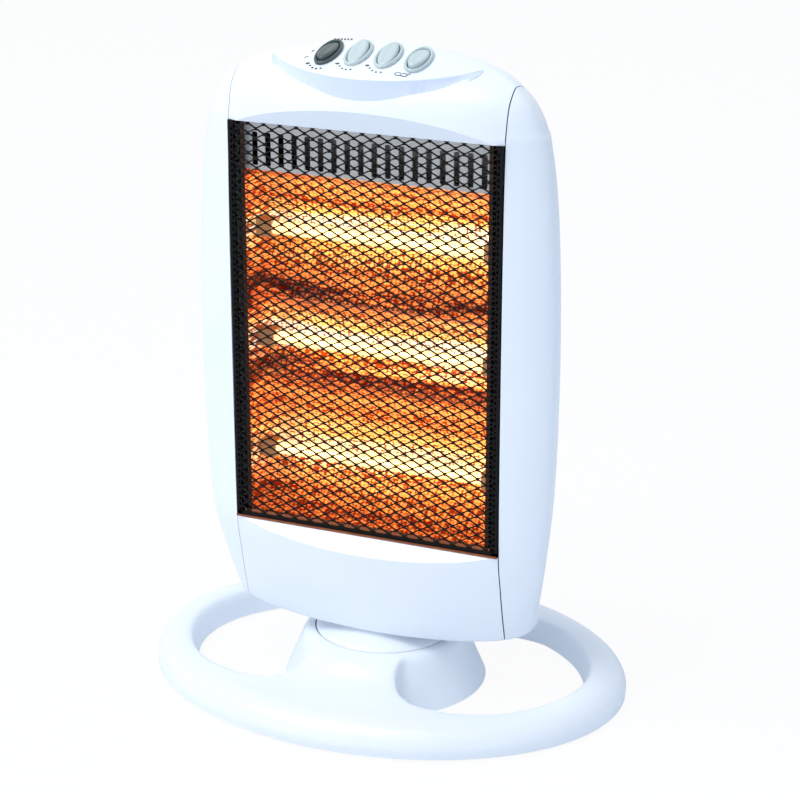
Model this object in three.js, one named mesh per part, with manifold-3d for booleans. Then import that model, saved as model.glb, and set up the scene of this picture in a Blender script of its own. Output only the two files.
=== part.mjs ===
// A free-standing halogen heater: a swinging head with three quartz lamps behind an
// expanded-metal guard, on a ring-shaped base. Millimetres, +Z up, the front faces -Y.
// The origin is the centre of the base ring, on the floor.
import * as THREE from "three";
import { mergeVertices } from "three/addons/utils/BufferGeometryUtils.js";
import Module from "manifold-3d";

const wasm = await Module();
wasm.setup();

// ---- Driving sizes ----
// General
const seatGap = 0.3; // between pieces that fit into each other
const contact = 0.05; // between faces that bear on each other
const seamGap = 0.5; // the thin dark line between two mouldings
const shellWall = 2.6; // injection-moulded skins
const lap = 1; // of one form into another that it is joined to
const past = 5; // of a hole's cutter beyond the piece it cuts
const far = 700; // beyond every piece

// Base ring and pedestal
const ringHalfX = 191;
const ringHalfY = 145;
const ringWidthX = 33; // at the floor, at the left and right ends
const ringWidthY = 33.5; // at the floor, front and back
const ringHeight = 23.6;
const rimLift = 1.6; // the moulding's lower edge over the floor
const swingAxisY = -6; // the neck stands a little in front of the ring's centre
const coneFootRadius = 80;
const coneTopRadius = 62;
const pedestalTopZ = 43;
const pedestalEdge = 5; // height of the rounding round the pedestal's top
const apronSink = 1.2; // of the apron's end under the ring's crest
const waistHalf = 37; // the apron's narrowest half width
const waistReach = 58; // of that waist from the swing axis
const flareHalf = 140; // where the apron's sides run out into the ring
const flareCrest = 7; // of the ring's inner edge, wider at its crest than at the floor
const flareSweep = 34; // of the apron's side before it meets the ring
const coverRadius = 69;
const coverThick = 2.4;
const footAngle = 60; // degrees from the x axis, on the ring's middle line
const footLength = 36;
const footWidth = 12;
const footThick = 3;
const footBossTopZ = 20.5; // in the ring's skin
const footBossInset = 6.6; // of the foot's boss from the ring's outline
const bossRadius = 4;
const screwHeadRadius = 3.2;
const screwHeadThick = 1.8;
const screwShankRadius = 1.5;
const screwLength = 9;
const blindDepth = 12; // of the screws' holes
const coverScrewReach = 59; // of the cover screws from the swing axis
const counterbore = 1.4; // that takes a cover screw's head
const glandBoreRadius = 5;
const glandFlangeRadius = 7;
const glandFlange = 1.4;
const glandLength = 12;
const glandCordRadius = 3;
const glandSink = 0.2; // of the flange's face in the ring's back
const glandZ = 11;

// Neck and swing drive
const neckRadius = 53.8;
const neckSeatDepth = 3; // of the recess in the pedestal that takes the neck
const neckPlateRadius = 58;
const neckTopZ = 59.7;
const journalRadius = 16;
const journalBore = 12;
const journalEndZ = 23.2;
const runningGap = 0.4;
const bushWall = 3;
const bushFlange = 1.4;
const bushFlangeWidth = 5;
const washerThick = 0.8;
const washerRadius = 45.8;
const gearModule = 1;
const sectorTeeth = 52; // of a full wheel
const sectorToothCount = 17; // cut on the sector
const pinionTeeth = 16;
const gearTopZ = 33;
const gearThick = 6;
const toothBacklash = 0.5;
const retainerThick = 1.2;
const retainerWidth = 3.4; // beyond the journal
const retainerSlot = 8;
const grooveDepth = 1.2; // in the journal, for the retainer
const motorRadius = 24;
const motorHeight = 15;
const motorTopZ = 21.4;
const motorShaftRadius = 3;
const motorFloor = 4; // under the shaft's end
const motorEarWidth = 9;
const motorEarHalf = 31;
const motorEarThick = 1.6;
const neckWall = 3;
const neckBossReach = 23.5; // of the chassis screws from the swing axis
const tiltSwitchSize = 20;
const tiltSwitchHeight = 18;
const tiltSwitchX = -47;
const tiltSwitchY = -28;
const tiltTabReach = 3;
const tiltTabWidth = 8;
const bladeWidth = 6; // flat terminals
const bladeThick = 0.8;
const bladeLength = 6;

// Head housing
const headHeight = 500;
const headBottomZ = 52;
const headHalf = 143.2; // at its widest
const headMiddleY = -4; // halfway from its front to its back
const headHalfDepth = 48;
const seamHalf = 107.8; // the seams between the centre mouldings and the side shells
const splitY = 12; // the seam between the front mouldings and the back cover
const windowTopZ = headHeight - 58.3;
const windowBottomZ = 131.3;
const windowHeight = windowTopZ - windowBottomZ;
const meshPlaneY = -39.5;
const browRise = 17.3; // of the facet over the window, at its front edge
const browDepth = 11.5;
const sillDrop = 12.3; // of the facet under the window, at its front edge
const sillDepth = 12.8;
const sillLedge = 3.4; // behind the mesh, for the rail
const supportX = 80; // the chassis plate's rests
const supportFrontY = -12;
const supportBackY = 25;
const neckHoleRadius = 34;
const ventWidth = 150;
const ventHeight = 5;
const ventPitch = 12;
const upperVents = 6;
const lowerVents = 4;
const ventRib = 6; // between the two columns
const upperVentZ = windowTopZ - 111.7;
const lowerVentZ = 96;
const gripWidth = 96; // carry recess at the top of the back
const gripHeight = 26;
const gripDepth = 19;
const gripZ = headHeight - 45;

// Control deck
const deckRadius = 112; // of its front edge, seen from above
const deckFrontY = -48;
const deckFrontZ = headHeight - 17.2;
const deckTilt = 19.7; // degrees
const deckArch = 502; // radius of its arch from left to right
const deckHalf = 82;
const riserHeight = 17.8; // of the crescent under the deck's front edge
const riserReach = 0.5; // of its foot in front of that edge, at the middle
const switchPitch = 23.3;
const switchY = -18.4;
const switchCount = 4;
const bezelWidth = 18.5;
const bezelLength = 34;
const bezelLip = 2.2; // over the deck
const bezelEdge = 2.4;
const switchBodyWall = 1;
const switchBoxDepth = 15;
const switchWellDepth = 8;
const rockerTop = 3.4; // over its pins
const rockerUnder = 5;
const rockerPinRadius = 1;
const rockerTilt = 8; // degrees either side of level
const rockerGap = 0.5;
const rockerPinDrop = 1.8; // under the bezel's lip
const rockerPocket = 1.3; // half the height of the pocket round a pin
const rockerEndRise = 0.7; // of its middle over its ends

// Heater inside the head
const guardThick = 1.2;
const diamondPitchX = 45.5;
const diamondPitchZ = 25.5;
const strandWidth = 2.2;
const guardSideStrip = 6.5;
const guardEdge = 2.4;
const guardReturn = 9;
const railHeight = 1.7;
const railLip = 0.8; // of the rail in front of the mesh
const upWindow = (share) => windowBottomZ + share * windowHeight;
const lampZ = [0.724, 0.447, 0.16].map(upWindow);
const ridgeZ = [0.556, 0.353].map(upWindow); // between the reflector's three troughs
const lampY = -10;
const tubeRadius = 5;
const tubeWall = 1;
const tubeHalf = 88;
const capLength = 17;
const capGrip = 3; // of a cap over the tube's end
const capSide = 13;
const filamentRadius = 1.1;
const filamentRingRadius = 3.2;
const filamentRings = 5;
const sheetThick = 0.8;
const bracketX = 99; // inner face of the lamp brackets
const bracketFrontY = -36;
const bracketBackY = 24;
const bracketFlange = 8;
const troughDepth = 24;
const troughFrontY = -14;
const reflectorHalf = 98.5;
const reflectorTopZ = windowTopZ - 37.7;
const reflectorBottomZ = windowBottomZ + 3.7;
const shieldInset = 12; // of the heat shield's top under the window's
const shieldFold = 9;
const slotPitch = 10.6;
const slotWidth = 4.5;
const slotHeight = 25;
const slotCount = 18;
const slotPanelY = -30;
const slotPanelHeight = 37.5;
const chassisHalfX = 101;
const chassisFrontY = -31;
const chassisBackY = 34;
const chassisThick = 1.6;
const terminalX = -70;
const terminalLength = 36;
const terminalDepth = 16;
const terminalHeight = 9;
const terminalPitch = 12;
const cutoutX = 40;
const cutoutZ = windowTopZ - 40;

// ---- Materials ----
function finish(colour, roughness, metalness = 0) {
  return () => new THREE.MeshStandardMaterial({ color: colour, roughness, metalness });
}
const whiteAbs = finish(0xf4f7fd, 0.32);
const greySwitch = finish(0xc3ccca, 0.4);
const darkSwitch = finish(0x3d4a4c, 0.4);
const blackSteel = finish(0x141414, 0.5, 0.6);
const brightAluminium = finish(0xd9a25a, 0.25, 0.9);
const greySteel = finish(0xaca7a0, 0.5, 0.7);
const zincSteel = finish(0xb9bcc0, 0.4, 0.9);
const copperSteel = finish(0x8f5a3c, 0.45, 0.7);
const quartz = finish(0xffd98a, 0.1);
const tungsten = finish(0x8a8073, 0.5, 0.8);
const ceramic = finish(0xe9e4d6, 0.7);
const rubber = finish(0x2a2b2d, 0.9);
const acetal = finish(0xe8e8e2, 0.5);
const blackPlastic = finish(0x1d1e20, 0.5);

// ---- Solids ----
function solid(geometry) {
  const bare = geometry.clone();
  for (const name of Object.keys(bare.attributes)) {
    if (name !== "position") bare.deleteAttribute(name);
  }
  const merged = mergeVertices(bare, 1e-4);
  const { Manifold, Mesh } = wasm;
  return new Manifold(
    new Mesh({
      numProp: 3,
      vertProperties: new Float32Array(merged.attributes.position.array),
      triVerts: new Uint32Array(merged.index.array),
    }),
  );
}

function geometryOf(body) {
  const { vertProperties, triVerts, numProp } = body.getMesh();
  const positions = [];
  for (let i = 0; i < vertProperties.length; i += numProp) {
    positions.push(vertProperties[i], vertProperties[i + 1], vertProperties[i + 2]);
  }
  const geometry = new THREE.BufferGeometry();
  geometry.setAttribute("position", new THREE.Float32BufferAttribute(positions, 3));
  geometry.setIndex([...triVerts]);
  const flat = geometry.toNonIndexed();
  flat.computeVertexNormals();
  return flat;
}

const join = (first, ...others) => others.reduce((sum, next) => sum.add(next), first);
const cut = (first, ...tools) => tools.reduce((rest, tool) => rest.subtract(tool), first);

function box(x0, x1, y0, y1, z0, z1) {
  const geometry = new THREE.BoxGeometry(x1 - x0, y1 - y0, z1 - z0);
  return solid(geometry.translate((x0 + x1) / 2, (y0 + y1) / 2, (z0 + z1) / 2));
}

// An upright cylinder, or a cone where the two radii differ.
function post(radius, z0, z1, { x = 0, y = 0, segments = 24, topRadius = radius } = {}) {
  const geometry = new THREE.CylinderGeometry(topRadius, radius, z1 - z0, segments);
  return solid(geometry.rotateX(Math.PI / 2).translate(x, y, (z0 + z1) / 2));
}

// A profile of [radius, z] pairs, walked anticlockwise, turned about the Z axis.
function turned(profile, segments = 48) {
  const points = profile.map(([radius, z]) => new THREE.Vector2(radius, z));
  const geometry = new THREE.LatheGeometry(points, segments);
  return solid(geometry.rotateX(Math.PI / 2));
}

// A shape drawn in X and Y, raised from z0 to z1.
function raised(shape, z0, z1, curveSegments = 12) {
  const geometry = new THREE.ExtrudeGeometry(shape, {
    depth: z1 - z0,
    bevelEnabled: false,
    curveSegments,
  });
  return solid(geometry.translate(0, 0, z0));
}

// A shape drawn in Y (across) and Z (up), drawn out along X from x0 to x1.
function drawnAlongX(shape, x0, x1, curveSegments = 12) {
  const geometry = new THREE.ExtrudeGeometry(shape, {
    depth: x1 - x0,
    bevelEnabled: false,
    curveSegments,
  });
  geometry.rotateX(Math.PI / 2).rotateZ(Math.PI / 2);
  return solid(geometry.translate(x0, 0, 0));
}

// A skin over rings of points, each anticlockwise from above and listed from the
// bottom upwards; a ring of one point is a pole.
function loft(rings) {
  const positions = [];
  const starts = rings.map((ring) => {
    const start = positions.length / 3;
    for (const point of ring) positions.push(point.x, point.y, point.z);
    return start;
  });
  const faces = [];
  const wide = Math.max(...rings.map((ring) => ring.length));
  for (let level = 0; level + 1 < rings.length; level++) {
    const [low, high] = [starts[level], starts[level + 1]];
    const lowPole = rings[level].length === 1;
    const highPole = rings[level + 1].length === 1;
    for (let i = 0; i < wide; i++) {
      const next = (i + 1) % wide;
      if (!lowPole) faces.push(low + i, low + next, highPole ? high : high + next);
      if (!highPole) faces.push(lowPole ? low : low + i, high + next, high + i);
    }
  }
  const geometry = new THREE.BufferGeometry();
  geometry.setAttribute("position", new THREE.Float32BufferAttribute(positions, 3));
  geometry.setIndex(faces);
  return solid(geometry);
}

// A shape drawn in X (across) and Z (up), drawn out along Y from y0 to y1.
function drawnAlongY(shape, y0, y1, curveSegments = 6) {
  return raised(shape, 0, y1 - y0, curveSegments).rotate([90, 0, 0]).translate([0, y1, 0]);
}

function polygon(points) {
  return new THREE.Shape(points.map(([across, up]) => new THREE.Vector2(across, up)));
}

// The same profile with its first point repeated, for a ring that has a bore.
const closed = (profile) => [...profile, profile[0]];

function stadium(width, length) {
  const radius = width / 2;
  const run = length / 2 - radius;
  const shape = new THREE.Shape();
  shape.absarc(0, run, radius, 0, Math.PI, false);
  shape.absarc(0, -run, radius, Math.PI, 2 * Math.PI, false);
  return shape;
}

function oval(width, length) {
  const shape = new THREE.Shape();
  shape.absellipse(0, 0, width / 2, length / 2, 0, 2 * Math.PI, false, 0);
  return shape;
}

const heater = new THREE.Group();
const head = new THREE.Group();
const pedestal = new THREE.Group();
head.position.y = swingAxisY;
pedestal.position.y = swingAxisY;
heater.add(head, pedestal);

function place(group, name, body, material) {
  const mesh = new THREE.Mesh(geometryOf(body), material());
  mesh.name = name;
  group.add(mesh);
  return mesh;
}

// ---- Base ----
// Across the ring: [share of the way from the inner to the outer edge, share of the height].
const ringSection = [
  [0, 0], [0.08, 0.66], [0.17, 0.94], [0.34, 1], [0.52, 0.98],
  [0.72, 0.87], [0.89, 0.64], [1, 0.32], [0.975, 0],
];

function ringForm(inset, segments) {
  const section = inset > 0 ? ringSection.filter((_, i) => i % 2 === 0) : ringSection;
  const rings = section.map(([across, up]) => {
    const halfX = ringHalfX - inset - (1 - across) * (ringWidthX - 2 * inset);
    const halfY = ringHalfY - inset - (1 - across) * (ringWidthY - 2 * inset);
    const z = rimLift - Math.sign(inset) * seatGap + up * (ringHeight - rimLift - inset);
    return Array.from({ length: segments }, (_, i) => {
      const angle = (-2 * Math.PI * i) / segments;
      return new THREE.Vector3(halfX * Math.cos(angle), halfY * Math.sin(angle), z);
    });
  });
  rings.push(rings[0]);
  return loft(rings);
}

function coneForm(inset) {
  return turned([
    [0, rimLift - Math.sign(inset) * seatGap],
    [coneFootRadius - inset, rimLift - Math.sign(inset) * seatGap],
    [coneTopRadius + pedestalEdge * 0.33 - inset, pedestalTopZ - pedestalEdge],
    [coneTopRadius - inset, pedestalTopZ - pedestalEdge * 0.45 - inset],
    [coneTopRadius - pedestalEdge * 0.7 - inset, pedestalTopZ - inset],
    [0, pedestalTopZ - inset],
  ], inset > 0 ? 24 : 44).translate([0, swingAxisY, 0]);
}

// The apron falls from the pedestal's top to the ring, the same all round the neck:
// [distance beyond the pedestal's top edge, share of the drop still to go].
function apronFall(inset) {
  const fall = [
    [-2, 1], [5, 0.92], [11, 0.76], [18, 0.53], [26, 0.32], [37, 0.14], [56, 0.02],
  ];
  const drop = pedestalTopZ - ringHeight;
  return turned([
    [0, rimLift - Math.sign(inset) * seatGap],
    [ringHalfX, rimLift - Math.sign(inset) * seatGap],
    [ringHalfX, ringHeight - apronSink - inset],
    ...fall
      .map(([beyond, share]) => [coneTopRadius + beyond, ringHeight + share * drop - inset])
      .reverse(),
    [0, pedestalTopZ - inset],
  ], inset > 0 ? 24 : 40).translate([0, swingAxisY, 0]);
}

function apronForm(inset) {
  const half = waistHalf - inset;
  const end = ringHalfY - ringWidthY / 2;
  const crestX = ringHalfX - ringWidthX + flareCrest;
  const crestY = ringHalfY - ringWidthY + flareCrest;
  const flareY = crestY * Math.sqrt(1 - (flareHalf / crestX) ** 2) + inset;
  const shape = new THREE.Shape();
  const side = (sx, sy, outward) => {
    const waist = [sx * half, swingAxisY + sy * waistReach];
    const nearWaist = [sx * half, sy * (flareY + 1.3 * flareSweep)];
    const nearRing = [sx * (flareHalf - flareSweep), sy * (flareY + flareSweep)];
    const ringEnd = [sx * flareHalf, sy * flareY];
    if (outward) shape.bezierCurveTo(...nearWaist, ...nearRing, ...ringEnd);
    else shape.bezierCurveTo(...nearRing, ...nearWaist, ...waist);
  };
  shape.moveTo(half, swingAxisY - waistReach);
  shape.lineTo(half, swingAxisY + waistReach);
  side(1, 1, true);
  shape.lineTo(flareHalf, end);
  shape.lineTo(-flareHalf, end);
  shape.lineTo(-flareHalf, flareY);
  side(-1, 1, false);
  shape.lineTo(-half, swingAxisY - waistReach);
  side(-1, -1, true);
  shape.lineTo(-flareHalf, -end);
  shape.lineTo(flareHalf, -end);
  shape.lineTo(flareHalf, -flareY);
  side(1, -1, false);
  return raised(shape, 0, pedestalTopZ + past, inset > 0 ? 5 : 8)
    .intersect(apronFall(inset))
    .intersect(ringInterior(ringWidthX / 2, ringWidthY / 2));
}

// Everything inside the ring's outline less a margin.
function ringInterior(marginX, marginY) {
  const shape = oval(2 * (ringHalfX - marginX), 2 * (ringHalfY - marginY));
  return raised(shape, 0, pedestalTopZ + past, 18);
}

const footSpots = [
  ["front_right", 1, -1],
  ["front_left", -1, -1],
  ["back_right", 1, 1],
  ["back_left", -1, 1],
];

function footPad(sideX, sideY, z0, z1, grow) {
  const angle = THREE.MathUtils.degToRad(footAngle);
  const x = sideX * (ringHalfX - ringWidthX / 2) * Math.cos(angle);
  const y = sideY * (ringHalfY - ringWidthY / 2) * Math.sin(angle);
  const along = Math.atan2(
    (ringHalfY - ringWidthY / 2) * Math.cos(angle) * sideY,
    -(ringHalfX - ringWidthX / 2) * Math.sin(angle) * sideX,
  );
  const pad = raised(stadium(footWidth + grow, footLength + grow), z0, z1, 5);
  return pad.rotate([0, 0, THREE.MathUtils.radToDeg(along) - 90]).translate([x, y, 0]);
}

const washerZ = pedestalTopZ - neckSeatDepth;
const plateUnderZ = washerZ - shellWall;
const gearReach = (gearModule * (sectorTeeth + pinionTeeth)) / 2;
const coverSpots = [45, 135, 225, 315].map((degrees) => {
  const angle = THREE.MathUtils.degToRad(degrees);
  return [coverScrewReach * Math.cos(angle), coverScrewReach * Math.sin(angle)];
});
const coverTopZ = rimLift + coverThick;

const screwHole = screwShankRadius + seatGap;

// A boss under the pedestal's plate, bored from below for a screw.
function hangingBoss(x, y, z) {
  const spot = { x, y: y + swingAxisY };
  return cut(
    post(bossRadius, z + seatGap, plateUnderZ + lap, { ...spot, segments: 12 }),
    post(screwHole, 0, z + blindDepth, { ...spot, segments: 10 }),
  );
}

const hangingBosses = [
  ...coverSpots.map(([x, y]) => hangingBoss(x, y, coverTopZ)),
  ...[-1, 1].map((side) => hangingBoss(side * motorEarHalf, gearReach, motorTopZ)),
];

const baseSkin = cut(
  join(ringForm(0, 56), coneForm(0), apronForm(0)),
  join(ringForm(shellWall, 28), coneForm(shellWall), apronForm(shellWall)),
);
const neckSeat = post(neckPlateRadius, plateUnderZ, washerZ, { y: swingAxisY, segments: 32 });

// A hole along Y from y0 to y1.
function boreAlongY(radius, y0, y1, z) {
  const geometry = new THREE.CylinderGeometry(radius, radius, y1 - y0, 20);
  return solid(geometry.translate(0, (y0 + y1) / 2, z));
}

const glandSeatY = ringHalfY - glandSink - glandFlange;
const glandBore = join(
  boreAlongY(glandBoreRadius, ringHalfY - ringWidthY / 2, ringHalfY + past, glandZ),
  boreAlongY(glandFlangeRadius + seatGap, glandSeatY, ringHalfY + past, glandZ),
);
const footBosses = footSpots.map(([, sideX, sideY]) =>
  footPad(sideX, sideY, footThick, footBossTopZ, 2).intersect(
    ringInterior(footBossInset, footBossInset),
  ),
);
const bushOuter = journalRadius + runningGap + bushWall;
const onAxis = (radius, z0, z1, segments) => post(radius, z0, z1, { y: swingAxisY, segments });
const baseShell = cut(
  join(
    cut(baseSkin, onAxis(neckRadius + seamGap, washerZ, pedestalTopZ + past, 44)),
    neckSeat,
    ...hangingBosses,
    ...footBosses,
  ),
  onAxis(bushOuter + seatGap, 0, pedestalTopZ + past, 32),
  glandBore,
);
place(heater, "base_shell", baseShell, whiteAbs);

const baseCover = cut(
  post(coverRadius, rimLift, coverTopZ, { segments: 48 }),
  ...coverSpots.flatMap(([x, y]) => [
    post(screwHole, 0, coverTopZ + past, { x, y, segments: 10 }),
    post(screwHeadRadius + seatGap, 0, rimLift + counterbore, { x, y, segments: 12 }),
  ]),
);
place(pedestal, "base_bottom_cover", baseCover, whiteAbs);

for (const [name, sideX, sideY] of footSpots) {
  place(heater, "rubber_foot_" + name, footPad(sideX, sideY, 0, footThick - contact, 0), rubber);
}

// A pan-head screw: the underside of its head bears at z, its shank points up or down.
function screw(x, y, z, upward = 1) {
  const made = join(
    post(screwHeadRadius, -screwHeadThick, 0, { segments: 12 }),
    post(screwShankRadius, -lap, screwLength, { segments: 8 }),
  );
  const turnedOver = upward > 0 ? made : made.rotate([180, 0, 0]);
  return turnedOver.translate([x, y, z]);
}

coverSpots.forEach(([x, y], i) => {
  const bearing = rimLift + counterbore - contact;
  place(pedestal, "cover_screw_" + (i + 1), screw(x, y, bearing), zincSteel);
});

// The cord's strain relief sits in the back of the ring.
const gland = turned(closed([
  [glandCordRadius, 0],
  [glandFlangeRadius - 0.5, 0],
  [glandFlangeRadius, glandFlange],
  [glandBoreRadius - seatGap, glandFlange],
  [glandBoreRadius - seatGap, glandLength],
  [glandCordRadius, glandLength],
]), 20);
place(
  heater,
  "cord_gland",
  gland.rotate([90, 0, 0]).translate([0, glandSeatY + glandFlange + contact, glandZ]),
  blackPlastic,
);

// ---- Neck and swing drive ----
const neckUnderZ = washerZ + washerThick + 2 * contact;
const neckFloorZ = neckUnderZ + neckWall;
const neckWaist = neckHoleRadius - 2 * seatGap;
const grooveZ = gearTopZ - gearThick - contact;
const journal = [
  [journalBore, journalEndZ],
  [journalRadius, journalEndZ],
  [journalRadius, grooveZ - retainerThick - 2 * contact],
  [journalRadius - grooveDepth, grooveZ - retainerThick - 2 * contact],
  [journalRadius - grooveDepth, grooveZ],
  [journalRadius, grooveZ],
];
const dome = [
  [neckRadius, neckUnderZ],
  [neckRadius, neckUnderZ + 1.4],
  [neckRadius - 1.2, neckUnderZ + 2.7],
  [neckRadius - 4.6, neckUnderZ + 4.5],
  [neckRadius - 9.5, neckUnderZ + 6.2],
  [neckRadius - 15, neckUnderZ + 7.8],
  [neckWaist + 1.4, neckUnderZ + 9.4],
  [neckWaist, neckUnderZ + 11.4],
  [neckWaist, neckTopZ],
];
const cup = [
  [neckWaist - neckWall, neckTopZ],
  [neckWaist - neckWall, neckUnderZ + 7.4],
  [neckRadius - 15, neckUnderZ + 4.6],
  [neckRadius - 13, neckFloorZ],
  [journalRadius, neckFloorZ],
  [journalRadius, neckFloorZ + 3],
  [journalBore, neckFloorZ + 3],
];
const neckBosses = [30, 150, 270].map((degrees) => {
  const angle = THREE.MathUtils.degToRad(degrees);
  return [neckBossReach * Math.cos(angle), neckBossReach * Math.sin(angle)];
});
const neck = cut(
  join(
    turned(closed([...journal, [journalRadius, neckUnderZ], ...dome, ...cup]), 32),
    ...neckBosses.map(([x, y]) =>
      post(bossRadius, neckFloorZ - lap, neckTopZ, { x, y, segments: 12 }),
    ),
  ),
  ...neckBosses.map(([x, y]) =>
    post(screwHole, neckTopZ - blindDepth, neckTopZ + past, { x, y, segments: 10 }),
  ),
);
place(head, "neck_turntable", neck, whiteAbs);

const bushFlangeZ = plateUnderZ - contact;
place(
  pedestal,
  "journal_bush",
  turned(closed([
    [journalRadius + runningGap, bushFlangeZ - bushFlange],
    [bushOuter + bushFlangeWidth, bushFlangeZ - bushFlange],
    [bushOuter + bushFlangeWidth, bushFlangeZ],
    [bushOuter, bushFlangeZ],
    [bushOuter, washerZ],
    [journalRadius + runningGap, washerZ],
  ]), 32),
  acetal,
);
place(
  pedestal,
  "slide_washer",
  turned(closed([
    [bushOuter + 1, washerZ + contact],
    [washerRadius, washerZ + contact],
    [washerRadius, washerZ + contact + washerThick],
    [bushOuter + 1, washerZ + contact + washerThick],
  ]), 40),
  acetal,
);

// Teeth on an arc about the origin, the first one's middle at the start angle.
function toothedArc(teeth, count, startDegrees) {
  const pitchRadius = (gearModule * teeth) / 2;
  const halfPitch = (Math.PI * gearModule - toothBacklash * 2) / 4;
  const flank = [
    [pitchRadius - 1.25 * gearModule, -halfPitch * 1.6],
    [pitchRadius, -halfPitch],
    [pitchRadius + 0.9 * gearModule, -halfPitch * 0.45],
    [pitchRadius + 0.9 * gearModule, halfPitch * 0.45],
    [pitchRadius, halfPitch],
    [pitchRadius - 1.25 * gearModule, halfPitch * 1.6],
  ];
  return Array.from({ length: count }, (_, i) => i).flatMap((i) => {
    const middle = THREE.MathUtils.degToRad(startDegrees + (360 * i) / teeth);
    return flank.map(([radius, across]) => {
      const angle = middle + across / radius;
      return [radius * Math.cos(angle), radius * Math.sin(angle)];
    });
  });
}

const sectorStart = 90 - (180 * (sectorToothCount - 1)) / sectorTeeth;
const sectorShape = polygon([[0, 0], ...toothedArc(sectorTeeth, sectorToothCount, sectorStart)]);
const hubTopZ = bushFlangeZ - bushFlange - seatGap;
const sectorGear = cut(
  join(
    raised(sectorShape, gearTopZ - gearThick, gearTopZ),
    post(bushOuter + 1, gearTopZ - gearThick, hubTopZ, { segments: 32 }),
  ),
  post(journalRadius + contact, 0, neckTopZ, { segments: 44 }),
);
place(head, "sector_gear", sectorGear, acetal);

const retainer = cut(
  turned(closed([
    [journalRadius - grooveDepth + contact, grooveZ - retainerThick - contact],
    [journalRadius + retainerWidth, grooveZ - retainerThick - contact],
    [journalRadius + retainerWidth, grooveZ - contact],
    [journalRadius - grooveDepth + contact, grooveZ - contact],
  ]), 36),
  box(-retainerSlot / 2, retainerSlot / 2, -neckRadius, 0, 0, grooveZ + past),
);
place(head, "neck_retainer", retainer, zincSteel);

const motorBottomZ = motorTopZ - motorHeight;
const motorShaftEnd = motorBottomZ + motorFloor;
const motorEarShape = stadium(motorEarWidth, 2 * motorEarHalf + motorEarWidth);
const motorEars = raised(motorEarShape, motorTopZ - motorEarThick, motorTopZ, 5);
const motor = cut(
  join(
    turned([
      [0, motorBottomZ],
      [motorRadius - 1.2, motorBottomZ],
      [motorRadius, motorBottomZ + 1.2],
      [motorRadius, motorTopZ],
      [0, motorTopZ],
    ], 28),
    motorEars.rotate([0, 0, 90]),
  ),
  post(motorShaftRadius + seatGap, motorShaftEnd, motorTopZ + past, { segments: 16 }),
  ...[-1, 1].map((side) =>
    post(screwHole, 0, motorTopZ + past, { x: side * motorEarHalf, segments: 10 }),
  ),
);
place(pedestal, "swing_motor", motor.translate([0, gearReach, 0]), zincSteel);
[-1, 1].forEach((side, i) => {
  const bearing = motorTopZ - motorEarThick - contact;
  const fixing = screw(side * motorEarHalf, gearReach, bearing);
  place(pedestal, "motor_screw_" + (i + 1), fixing, zincSteel);
});

const pinionShape = polygon(toothedArc(pinionTeeth, pinionTeeth, 270 + 180 / pinionTeeth));
const pinion = join(
  raised(pinionShape, gearTopZ - gearThick, gearTopZ),
  post(motorShaftRadius, motorShaftEnd + seatGap, gearTopZ - gearThick + lap, { segments: 16 }),
);
place(pedestal, "motor_pinion", pinion.translate([0, gearReach, 0]), acetal);

// The tip-over switch is a sealed box that hangs under the pedestal's top.
const tiltTopZ = plateUnderZ - contact;
const tiltBottomZ = tiltTopZ - tiltSwitchHeight;
const tiltMiddleX = tiltSwitchX + tiltSwitchSize / 2;
const tiltMiddleY = tiltSwitchY + tiltSwitchSize / 2;

// A box by its middle and its sizes, from z0 to z1.
function block(x, y, width, depth, z0, z1) {
  return box(x - width / 2, x + width / 2, y - depth / 2, y + depth / 2, z0, z1);
}

const tiltSwitch = join(
  block(tiltMiddleX, tiltMiddleY, tiltSwitchSize, tiltSwitchSize, tiltBottomZ, tiltTopZ),
  block(
    tiltMiddleX, tiltMiddleY, tiltSwitchSize + 2 * tiltTabReach, tiltTabWidth,
    tiltTopZ - sheetThick, tiltTopZ,
  ),
  ...[-1, 1].map((side) => {
    const x = tiltMiddleX + (side * tiltSwitchSize) / 4;
    const bladeEndZ = tiltBottomZ - bladeLength;
    return block(x, tiltMiddleY, bladeThick, bladeWidth, bladeEndZ, tiltBottomZ + lap);
  }),
);
place(pedestal, "tilt_switch", tiltSwitch, blackPlastic);

// ---- Head housing ----
// Stations up the head: height at the middle, fall at the seams, half width, then y of
// the front, of the widest line and of the back, and the power that rounds the front.
// The first five stand over the floor, those beside the window are at shares of its
// height, and those over it are at depths under the head's top.
const headStations = [
  [headBottomZ, -5, 119.5, -36, 6, 38, 0.6],
  [headBottomZ + 2, -5, 122.5, -38.2, 6, 40, 0.62],
  [75, -3, 127, -42.8, -5, 42, 0.84],
  [100, -1, 132, -47.5, -12, 43, 1],
  [windowBottomZ, 0, 137, -52.3, -18, 44, 1.11],
  [upWindow(0.141), 0, 141, -52.3, -18, 44, 1.11],
  [upWindow(0.302), 0, 142.8, -52.3, -18, 44, 1.11],
  [upWindow(0.463), 0, headHalf, -52.3, -18, 44, 1.11],
  [upWindow(0.64), 0, 142.3, -52.3, -18, 44, 1.11],
  [upWindow(0.801), 0, 140, -52.3, -18, 44, 1.11],
  [upWindow(0.914), 0, 136.8, -52.3, -18, 43.5, 1.11],
  [upWindow(1.001), 0, 132.3, -52.3, -18, 43, 1.11],
  [headHeight - 41, 6, 129.2, -50.5, -18, 41, 1.11],
  [headHeight - 28.5, 4.5, 121.8, -46, -19, 37.5, 1.11],
  [headHeight - 21, 3, 112, -37.5, -18, 33, 1.11],
  [headHeight - 11, 7, 100, -24, -12, 26, 1.11],
  [headHeight - 5, 9.5, 78, -13, -4, 18, 1.11],
  [headHeight - 1, 16, 50, -3, 2, 10, 1.11],
];

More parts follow.
